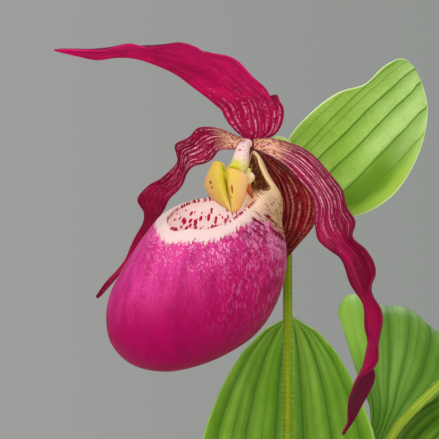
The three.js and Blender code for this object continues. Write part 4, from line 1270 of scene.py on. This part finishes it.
def pouch_radius(direction):
    """How far the rounded form reaches from the pouch's centre in a direction."""
    heading = math.atan2(direction.z, direction.x)
    upper = int(np.searchsorted(OUTLINE_ANGLES, heading)) % len(OUTLINE)
    lower = (upper - 1) % len(OUTLINE)
    span = (OUTLINE[upper][0] - OUTLINE[lower][0]) % TURN
    share = ((heading - OUTLINE[lower][0]) % TURN) / span if span > 0 else 0
    reach = OUTLINE[lower][1] + (OUTLINE[upper][1] - OUTLINE[lower][1]) * share
    depth = direction.y - POUCH_SHEAR * direction.x
    flat = math.hypot(direction.x, direction.z)
    return 1 / math.hypot(flat / reach, depth / POUCH_HALF_DEPTH)


RIM = Curve(POUCH_RIM, closed=True)


def pouch_skin(turn, down):
    """A place on the skin. turn is a share of the way round the rim, and down is 0 at the rim and
    1 at the lowest point."""
    start = RIM.at(turn % 1) - POUCH_CENTRE
    reach = start.length
    direction = start.normalized()
    axis = direction.cross(POUCH_LOWEST).normalized()
    angle = direction.angle(POUCH_LOWEST)
    direction = Matrix.Rotation(angle * down, 3, axis) @ direction
    held = 1 - smooth(down / POUCH_CLAW_SHARE)
    return direction * (pouch_radius(direction) * (1 - held) + reach * held) + POUCH_CENTRE


def staminode_share(t):
    """How far down the shield a row lies, closer together towards both ends."""
    return (1 - math.cos(math.pi * t)) / 2


def staminode_section(t):
    """A row round the shield: half across it in front, with a cleft, and half behind."""
    long = STAMINODE_TIP - STAMINODE_TOP
    facing = STAMINODE_ACROSS.cross(long).normalized()
    if facing.dot(FORWARD) < 0:
        facing.negate()
    share = staminode_share(t)
    swell = math.sin(math.pi * (0.3 + 0.7 * share ** 1.13)) ** 0.85 if share < 1 else 0
    cap = math.sqrt(1 - (1 - min(share / 0.05, 1)) ** 2)
    half = STAMINODE_HALF_WIDTH * swell * cap
    slim = 1 - 0.28 * smooth(share * 2) * smooth((1 - share) * 4)
    broad = 1 + 0.16 * smooth(share * 3) * smooth((1 - share) * 3)
    full = max(math.sin(math.pi * share ** 0.7), 0)
    ends = cap * math.sqrt(1 - min(max((share - 0.94) / 0.06, 0), 1) ** 2)

    def place(s):
        angle = math.pi * s
        side = math.cos(angle)
        body = math.sin(angle)
        cleft = math.exp(-((side / 0.16) ** 2))
        arch = max(math.sin(math.pi * abs(side) ** 0.75), 0)
        ear = 4.2 * arch ** 0.6 if side < 0 else 1.6 * arch
        lobe = (2.6 * (0.3 + 0.7 * full) if body > 0 else 1) * ends
        groove = 1.9 * cleft * full if body > 0 else 0
        sag = 1.6 * side * side * (1 - share ** 4) * cap
        return (STAMINODE_TOP + long * share + Vector((0, 0, ear * cap * (1 - share) ** 1.5))
                + STAMINODE_ACROSS * (half * side * (slim if side > 0 else broad))
                + facing * (body * lobe - groove - sag))
    return place


# The pieces

def pot_piece(material):
    """A thrown pot: its profile is spun, its corners rounded and three drain holes cut."""
    def outer(height):
        return POT_FOOT_RADIUS + (POT_NECK_RADIUS - POT_FOOT_RADIUS) / COLLAR_FOOT * height

    def inner(height):
        return outer(height) - POT_WALL

    lip = POT_HEIGHT - POT_EDGE
    profile = [(0, 0), (POT_FOOT_RADIUS - 1.4, 0), (POT_FOOT_RADIUS, POT_EDGE),
               (POT_NECK_RADIUS, COLLAR_FOOT), (COLLAR_RADIUS - 2, COLLAR_FOOT),
               (COLLAR_RADIUS, lip), (COLLAR_RADIUS - POT_EDGE, POT_HEIGHT),
               (inner(POT_HEIGHT) + POT_EDGE, POT_HEIGHT), (inner(lip), lip),
               (inner(POT_FLOOR), POT_FLOOR), (0, POT_FLOOR)]
    piece = new_piece("clay_pot", spin_profile(profile, 144), ["pot"], [material])
    drill = add_object("drill", mesh_data("drill", drill_mesh()))
    modify(piece, "drain holes", "BOOLEAN", operation="DIFFERENCE", object=drill)
    round_edges(piece, 1.2, 25)
    apply_modifiers(piece, 40)
    bpy.data.objects.remove(drill)
    return piece


def drill_mesh():
    """What is cut out of the pot's floor."""
    mesh = bmesh.new()
    for k in range(DRAIN_HOLES):
        angle = math.pi / 2 + k * TURN / DRAIN_HOLES
        spot = Vector((math.cos(angle), math.sin(angle), 0)) * (DRAIN_REACH * MM)
        bmesh.ops.create_cone(mesh, cap_ends=True, segments=40, radius1=DRAIN_RADIUS * MM,
                              radius2=DRAIN_RADIUS * MM, depth=3 * POT_FLOOR * MM,
                              matrix=Matrix.Translation(spot))
    return mesh


def soil_height(x, y):
    """How high the mix lies at a point, a little lower close to each stem."""
    bumps = 1.6 * noise.noise(Vector((x, y, 0)) * 0.09) + 0.8 * noise.noise(Vector((x, y, 9)) * 0.3)
    pits = sum(math.exp(-(reach ** 2) / 18) for reach in stem_distances(x, y))
    return SOIL_LEVEL + 0.4 + bumps - 0.8 * pits


def stem_distances(x, y):
    """How far a point on the mix is from each stem's foot."""
    return [math.hypot(x - path[0][0], y - path[0][1]) for path in (STEM_PATH, SIDE_STEM_PATH)]


def soil_piece(material):
    """The potting mix, whose top is spun flat in rings and then made uneven."""
    rings = [(SOIL_RADIUS * k / SOIL_RINGS, SOIL_LEVEL) for k in range(SOIL_RINGS + 1)]
    profile = [(0, 6.3), (39.6, 6.3), (53.9, 99)] + rings[::-1]
    mesh = spin_profile(profile, 120)
    for vert in mesh.verts:
        if vert.co.z > (SOIL_LEVEL - 0.5) * MM:
            vert.co.z = soil_height(vert.co.x / MM, vert.co.y / MM) * MM
    piece = new_piece("potting_mix", mesh, ["substrate"], [material])
    shade(piece, 60)
    return piece


def grit_template(rng):
    """One bit of unit size, the hull of a few points."""
    mesh = bmesh.new()
    flat = rng.uniform(0.45, 0.85)
    for _ in range(15):
        spot = Vector([rng.gauss(0, 1) for _ in range(3)]).normalized() * rng.uniform(0.8, 1.1)
        mesh.verts.new((spot.x * 1.2, spot.y * 0.9, spot.z * flat))
    hull = bmesh.ops.convex_hull(mesh, input=mesh.verts)
    loose = [item for item in hull["geom_interior"] if isinstance(item, bmesh.types.BMVert)]
    bmesh.ops.delete(mesh, geom=loose, context="VERTS")
    bmesh.ops.recalc_face_normals(mesh, faces=mesh.faces)
    return mesh


def grit_piece(material):
    """Loose bark and pumice, the big bits first, spread evenly and clear of the stems."""
    rng = random.Random(7)
    templates = [grit_template(rng) for _ in range(10)]
    places, tones = [], []
    for k in range(GRIT_COUNT):
        size = rng.uniform(2.6, 4.6) if k < GRIT_BIG_COUNT else rng.uniform(1.0, 2.2)
        reach = (SOIL_RADIUS - 0.6 - size) * math.sqrt((k * 0.618034) % 1.0)
        angle = rng.uniform(0, TURN)
        x, y = reach * math.cos(angle), reach * math.sin(angle)
        if min(stem_distances(x, y)) < size * 1.2 + 4.5:
            continue
        spin = Matrix.Rotation(rng.uniform(0, TURN), 4, "Z")
        tip = Matrix.Rotation(rng.gauss(0, 0.5), 4, "X")
        level = soil_height(x, y) + size * rng.uniform(0.0, 0.35)
        spot = Matrix.Translation(Vector((x, y, level)) * MM)
        shape = rng.randrange(len(templates))
        places.append((shape, spot @ spin @ tip @ Matrix.Scale(size * MM, 4)))
        tones.append(rng.random())
    return scatter("grit", templates, places, material, tones)


def main_radius(t, angle=0):
    """The flower stem's radius."""
    return 2.3 - 0.8 * t


def side_radius(t, angle=0):
    """The second stem's radius, a little thicker."""
    return 2.4 - 0.8 * t


def ovary_radius(t, angle):
    """The last few millimetres are the thin end that closes the middle of the flower."""
    swell = 1.5 + 0.9 * math.sin(math.pi * min(t * 1.17 + 0.05, 1))
    return swell * (1 + 0.06 * math.cos(6 * angle)) * (1 - 0.45 * smooth((t - 0.94) / 0.05))


def neck_radius(t, angle):
    """The column's neck, thicker towards the anthers."""
    return 1.5 + 0.5 * smooth(t * 4) + 1.0 * smooth(t * 1.2)


def stigma_radius(t, angle):
    """The stigma, which tapers downwards."""
    return 2.2 - 1.8 * t


def stem_piece(name, node, curve, radius_at, steps, material):
    """A closed rod, which takes the place of its node."""
    mesh = rod_mesh(curve, radius_at, steps, 28)
    piece = new_piece(name, mesh, [node], [material])
    shade(piece, 60)
    return piece


def rim_value(values, turn):
    """One of the rim's lists at a share of the way round it."""
    index = RIM.share_at(turn) * len(values)
    low = int(index) % len(values)
    share = index - int(index)
    return values[low] * (1 - share) + values[(low + 1) % len(values)] * share


def pouch_line(turn):
    """From the rim down to the lowest point: places on the skin, and how far down it they are."""
    points = [pouch_skin(turn, (j / POUCH_ROWS) ** 1.15) for j in range(POUCH_ROWS + 1)]
    drops = [0.0]
    for before, after in zip(points, points[1:]):
        drops.append(drops[-1] + (after - before).length)
    return points, drops


def pouch_mesh():
    """The open skin, with what its materials read: the depth below the rim, the pale band's depth,
    and how cream and how brown it is."""
    mesh, spots = numbered_grid(POUCH_ROWS, POUCH_COLUMNS, ("drop", "band", "cream", "brown"))
    layers = mesh.verts.layers.float
    turns = [i / POUCH_COLUMNS for i in range(POUCH_COLUMNS)]
    lines = [pouch_line(turn) for turn in turns]
    bands, creams, browns = ([rim_value(values, turn) for turn in turns]
                             for values in (RIM_BAND, RIM_CREAM, RIM_BROWN))
    for vert, (row, column) in spots.items():
        column %= POUCH_COLUMNS
        points, drops = lines[column]
        vert[layers["drop"]] = drops[row]
        vert[layers["band"]] = bands[column]
        vert[layers["cream"]] = creams[column]
        vert[layers["brown"]] = browns[column] * smooth((BROWN_DEPTH - drops[row]) / BROWN_FADE)
        vert.co = points[row] * MM
    weld(mesh, 2e-6)
    lowest = min(mesh.faces, key=lambda face: face.calc_center_median().z)
    if lowest.normal.z > 0:
        bmesh.ops.reverse_faces(mesh, faces=mesh.faces)
    return mesh


def pouch_piece(materials):
    """The pouch's skin, given a wall and a rounded rim."""
    piece = new_piece("pouch", pouch_mesh(), ["lip"], materials)
    modify(piece, "wall", "SOLIDIFY", thickness=POUCH_WALL * MM, offset=-1, material_offset=1,
           material_offset_rim=2)
    round_edges(piece, 0.42, 55, loop_slide=False)
    apply_modifiers(piece, 75)
    return piece


def column_piece(material):
    """Neck, anthers and stigma, fused into one smooth form."""
    mesh = rod_mesh(Curve(COLUMN_PATH), neck_radius, 30, 24)
    for centre in ANTHERS:
        bmesh.ops.create_uvsphere(mesh, u_segments=20, v_segments=14, radius=ANTHER_RADIUS * MM,
                                  matrix=Matrix.Translation(Vector(centre) * MM))
    stigma = mesh_data("stigma", rod_mesh(Curve(STIGMA_PATH), stigma_radius, 16, 16))
    mesh.from_mesh(stigma)
    bpy.data.meshes.remove(stigma)
    piece = new_piece("column_and_anthers", mesh, ["column"], [material])
    modify(piece, "fuse", "REMESH", mode="VOXEL", voxel_size=0.16 * MM)
    modify(piece, "soften", "SMOOTH", factor=0.6, iterations=6)
    apply_modifiers(piece, 180)
    return piece


def staminode_piece(material):
    """The shield, with what its material reads: the side from -1 to 1, and the share downwards."""
    mesh = lay_grid(48, 96, staminode_section)
    side_layer = mesh.verts.layers.float.new("side")
    share_layer = mesh.verts.layers.float.new("share")
    uv = mesh.loops.layers.uv.verify()
    for face in mesh.faces:
        for loop in face.loops:
            around, share = loop[uv].uv
            loop.vert[side_layer] = math.cos(math.pi * (2 * around - 1))
            loop.vert[share_layer] = staminode_share(share)
    weld(mesh, 1e-6)
    piece = new_piece("staminode_shield", mesh, ["staminode"], [material])
    shade(piece, 80)
    return piece


# Build

def build_leaves(main_stem, side_stem):
    """The leaves of both shoots. The folded one has shallow pleats and a rounded crest."""
    top = leaf_material("leaf", rgb(104, 154, 18), rgb(146, 188, 70), rgb(44, 94, 0),
                        rgb(160, 192, 104))
    folded_top = leaf_material("folded leaf", rgb(104, 150, 44), rgb(132, 176, 76),
                               rgb(66, 112, 24), rgb(160, 192, 104), painted_glow=rgb(152, 196, 74))
    under = leaf_material("leaf underside", rgb(122, 168, 72), rgb(148, 188, 98),
                          rgb(82, 132, 44), rgb(176, 208, 124))
    for prefix, leaves, stem, radius_at, first_seed in (
            ("main_", MAIN_LEAVES, main_stem, main_radius, 1),
            ("shoot_", SIDE_LEAVES, side_stem, side_radius, 11)):
        for seed, leaf in enumerate(leaves, first_seed):
            folded = leaf.node == "side_leaf_3"
            shape = {"depth": LOBED_FOLD_DEPTH, "crest": lobed_crest} if folded else {}
            section = leaf_section(leaf, stem, radius_at, seed, **shape)
            blade(prefix + leaf.node, leaf.node, section, (90, 80),
                  [folded_top if folded else top, under], upper_side(leaf))


def build_tepals():
    """The sepals and petals. Gives the pieces that have hairs: the lower sepals and both petals."""
    dorsal = tepal_material(
        "dorsal sepal", rgb(222, 8, 106), rgb(188, 6, 86), rgb(250, 164, 190), lines=8, breaks=34,
        window=(0.04, 0.1, 0.13, 0.46), shade=0.2, whole=0.06, deep_end=0.36, dark=rgb(126, 0, 44),
        low=rgb(142, 0, 54), upper=rgb(216, 10, 110))
    left = tepal_material(
        "left petal", rgb(180, 0, 70), rgb(124, 0, 42), rgb(255, 176, 196), lines=6, breaks=20,
        window=(0.06, 0.16, 0.34, 0.66), shade=0.5, whole=0.06, dark=rgb(104, 0, 36), foot=0.2)
    right = tepal_material(
        "right petal", rgb(172, 0, 76), rgb(122, 0, 46), rgb(255, 186, 208), breaks=26,
        window=(0.03, 0.08, 0.18, 0.5), shade=0.6, whole=0.14, foot=0.13)
    maroon = tepal_material(
        "synsepal", rgb(184, 16, 46), rgb(124, 2, 24), rgb(240, 172, 130), lines=9, breaks=8,
        window=(0.0, 0.05, 1.0, 1.3), dark=rgb(62, 0, 14), edge=rgb(190, 90, 84), stripe_share=0.75)
    back = tepal_back_material()
    top_sepal = tepal_section(DORSAL_SEPAL, (0.2, 0.7), 6, DORSAL_NICKS)
    blade("top_sepal", "dorsal_sepal", top_sepal, (200, 48), [dorsal, back],
          (0, -1, -0.3))
    lower_sepals = blade("lower_sepals", "synsepal",
                         tepal_section(SYNSEPAL, (0.4, 0.4), 3), (110, 60), [maroon, back],
                         (-0.3, -1, 0))
    left_petal = blade("left_petal", "petal_left",
                       tepal_section(LEFT_PETAL, (0.9, 0.9), 7), (200, 40), [left, back],
                       (-0.2, -1, 0.2))
    right_petal = blade("right_petal", "petal_right",
                        tepal_section(RIGHT_PETAL, (0.9, 0.9), 8.4), (220, 44), [right, back],
                        (-0.2, -1, 0.2))
    return lower_sepals, left_petal, right_petal


def build_hairs(stem, shoot, ovary, pouch, lower_sepals, petals):
    """White hairs on what is green, brown ones on the pouch's claw and rosy ones on the tepals."""
    white = hair_material("white hair", rgb(226, 232, 200), rgb(250, 250, 240))
    rosy = hair_material("rosy hair", rgb(236, 190, 170), rgb(250, 226, 210))
    brown = hair_material("brown hair", rgb(120, 66, 30), rgb(226, 180, 120))

    def on_stem(spot, normal):
        return 1.0 if spot.z > 200 else 0.25

    def on_claw(spot, normal):
        return 3.0 if spot.z > 359 and spot.x > -17 and normal.dot(FORWARD) > 0.1 else 0

    def on_petal_foot(spot, normal):
        return 0.5 if spot.x > -24 and spot.z > 364 else 0

    def evenly(count):
        return lambda spot, normal: count

    hairs_on("stem_hairs", [stem], on_stem, 0.7, 0.03, white, 3)
    hairs_on("ovary_hairs", [ovary], evenly(1.6), 0.7, 0.03, white, 4)
    hairs_on("second_stem_hairs", [shoot], evenly(0.4), 0.7, 0.03, white, 5)
    hairs_on("claw_hairs", [pouch], on_claw, 1.1, 0.035, brown, 6)
    hairs_on("sepal_hairs", [lower_sepals], evenly(0.5), 0.8, 0.02, rosy, 7)
    hairs_on("petal_foot_hairs", petals, on_petal_foot, 0.8, 0.015, rosy, 8)


def build_plant():
    """Everything of the part, from the pot to the hairs."""
    pot_piece(clay_material())
    soil_piece(soil_material())
    grit_piece(grit_material())
    main_stem = Curve(STEM_PATH)
    side_stem = Curve(SIDE_STEM_PATH)
    green = stem_material("stem green", rgb(114, 142, 0), rgb(146, 168, 30), rgb(92, 118, 0))
    pale = stem_material("side stem green", rgb(136, 164, 28), rgb(174, 194, 76), rgb(104, 128, 6))
    stem = stem_piece("main_stem", "flower_stem", main_stem, main_radius, 150, green)
    shoot = stem_piece("second_stem", "side_stem", side_stem, side_radius, 150, pale)
    ovary_green = stem_material("ovary green", rgb(160, 188, 74), rgb(190, 212, 110),
                                rgb(120, 150, 40), tip=rgb(150, 30, 60))
    ovary = stem_piece("ribbed_ovary", "ovary", Curve(OVARY_PATH), ovary_radius, 64, ovary_green)
    build_leaves(main_stem, side_stem)
    bract_green = bract_material()
    blade("green_bract", "bract", tepal_section(BRACT, (0.4, 0.4), 3), (90, 60),
          [bract_green, bract_green], (0, -1, 0))
    lower_sepals, *petals = build_tepals()
    pouch = pouch_piece([pouch_outer_material(), pouch_inner_material(), pouch_rim_material()])
    column_piece(column_material())
    staminode_piece(staminode_material())
    build_hairs(stem, shoot, ovary, pouch, lower_sepals, petals)


# Stage

def build_floor():
    """A pale floor to stand on."""
    bpy.ops.mesh.primitive_circle_add(vertices=96, radius=3.0, fill_type="NGON", location=(0, 0, 0))
    floor = bpy.context.object
    floor.name = "floor"
    pale = Paint("pale floor")
    pale.base(pale.grain(pale.place(), 3, 2), rgb(205, 205, 203), rgb(212, 212, 210))
    floor.data.materials.append(pale.finish(0.8))


def build_sky():
    """A grey surround, a little darker on the right."""
    world = bpy.context.scene.world or bpy.data.worlds.new("world")
    bpy.context.scene.world = world
    world.use_nodes = True
    sky = Patterns(world.node_tree)
    across = sky.split(sky.node("ShaderNodeTexCoord", {}, {}, "Generated"))[0]
    grey = sky.mix(across.step(-0.09, 0.09), rgb(158, 158, 157), rgb(146, 149, 145))
    sky.feed(world.node_tree.nodes["Background"].inputs[0], grey)


def build_lights():
    """A warm key from the upper left, broad light from above and in front, a weak fill from the
    right and a light from behind."""
    make_light("key", (-0.9, -1.1, 1.3), (-0.02, 0, 0.34), 0.9, 10.5, (1, 0.98, 0.95))
    make_light("sky", (0.3, -0.7, 2.0), (0, 0, 0.34), 1.4, 11)
    make_light("front", (-0.35, -1.9, 0.5), (-0.02, 0, 0.34), 1.0, 15)
    make_light("fill", (1.2, -1.6, 0.5), (0, 0, 0.3), 1.2, 4.5)
    make_light("back", (0.4, 1.4, 1.5), (0, 0, 0.3), 0.8, 10)


make_camera()
build_plant()
build_floor()
build_sky()
build_lights()
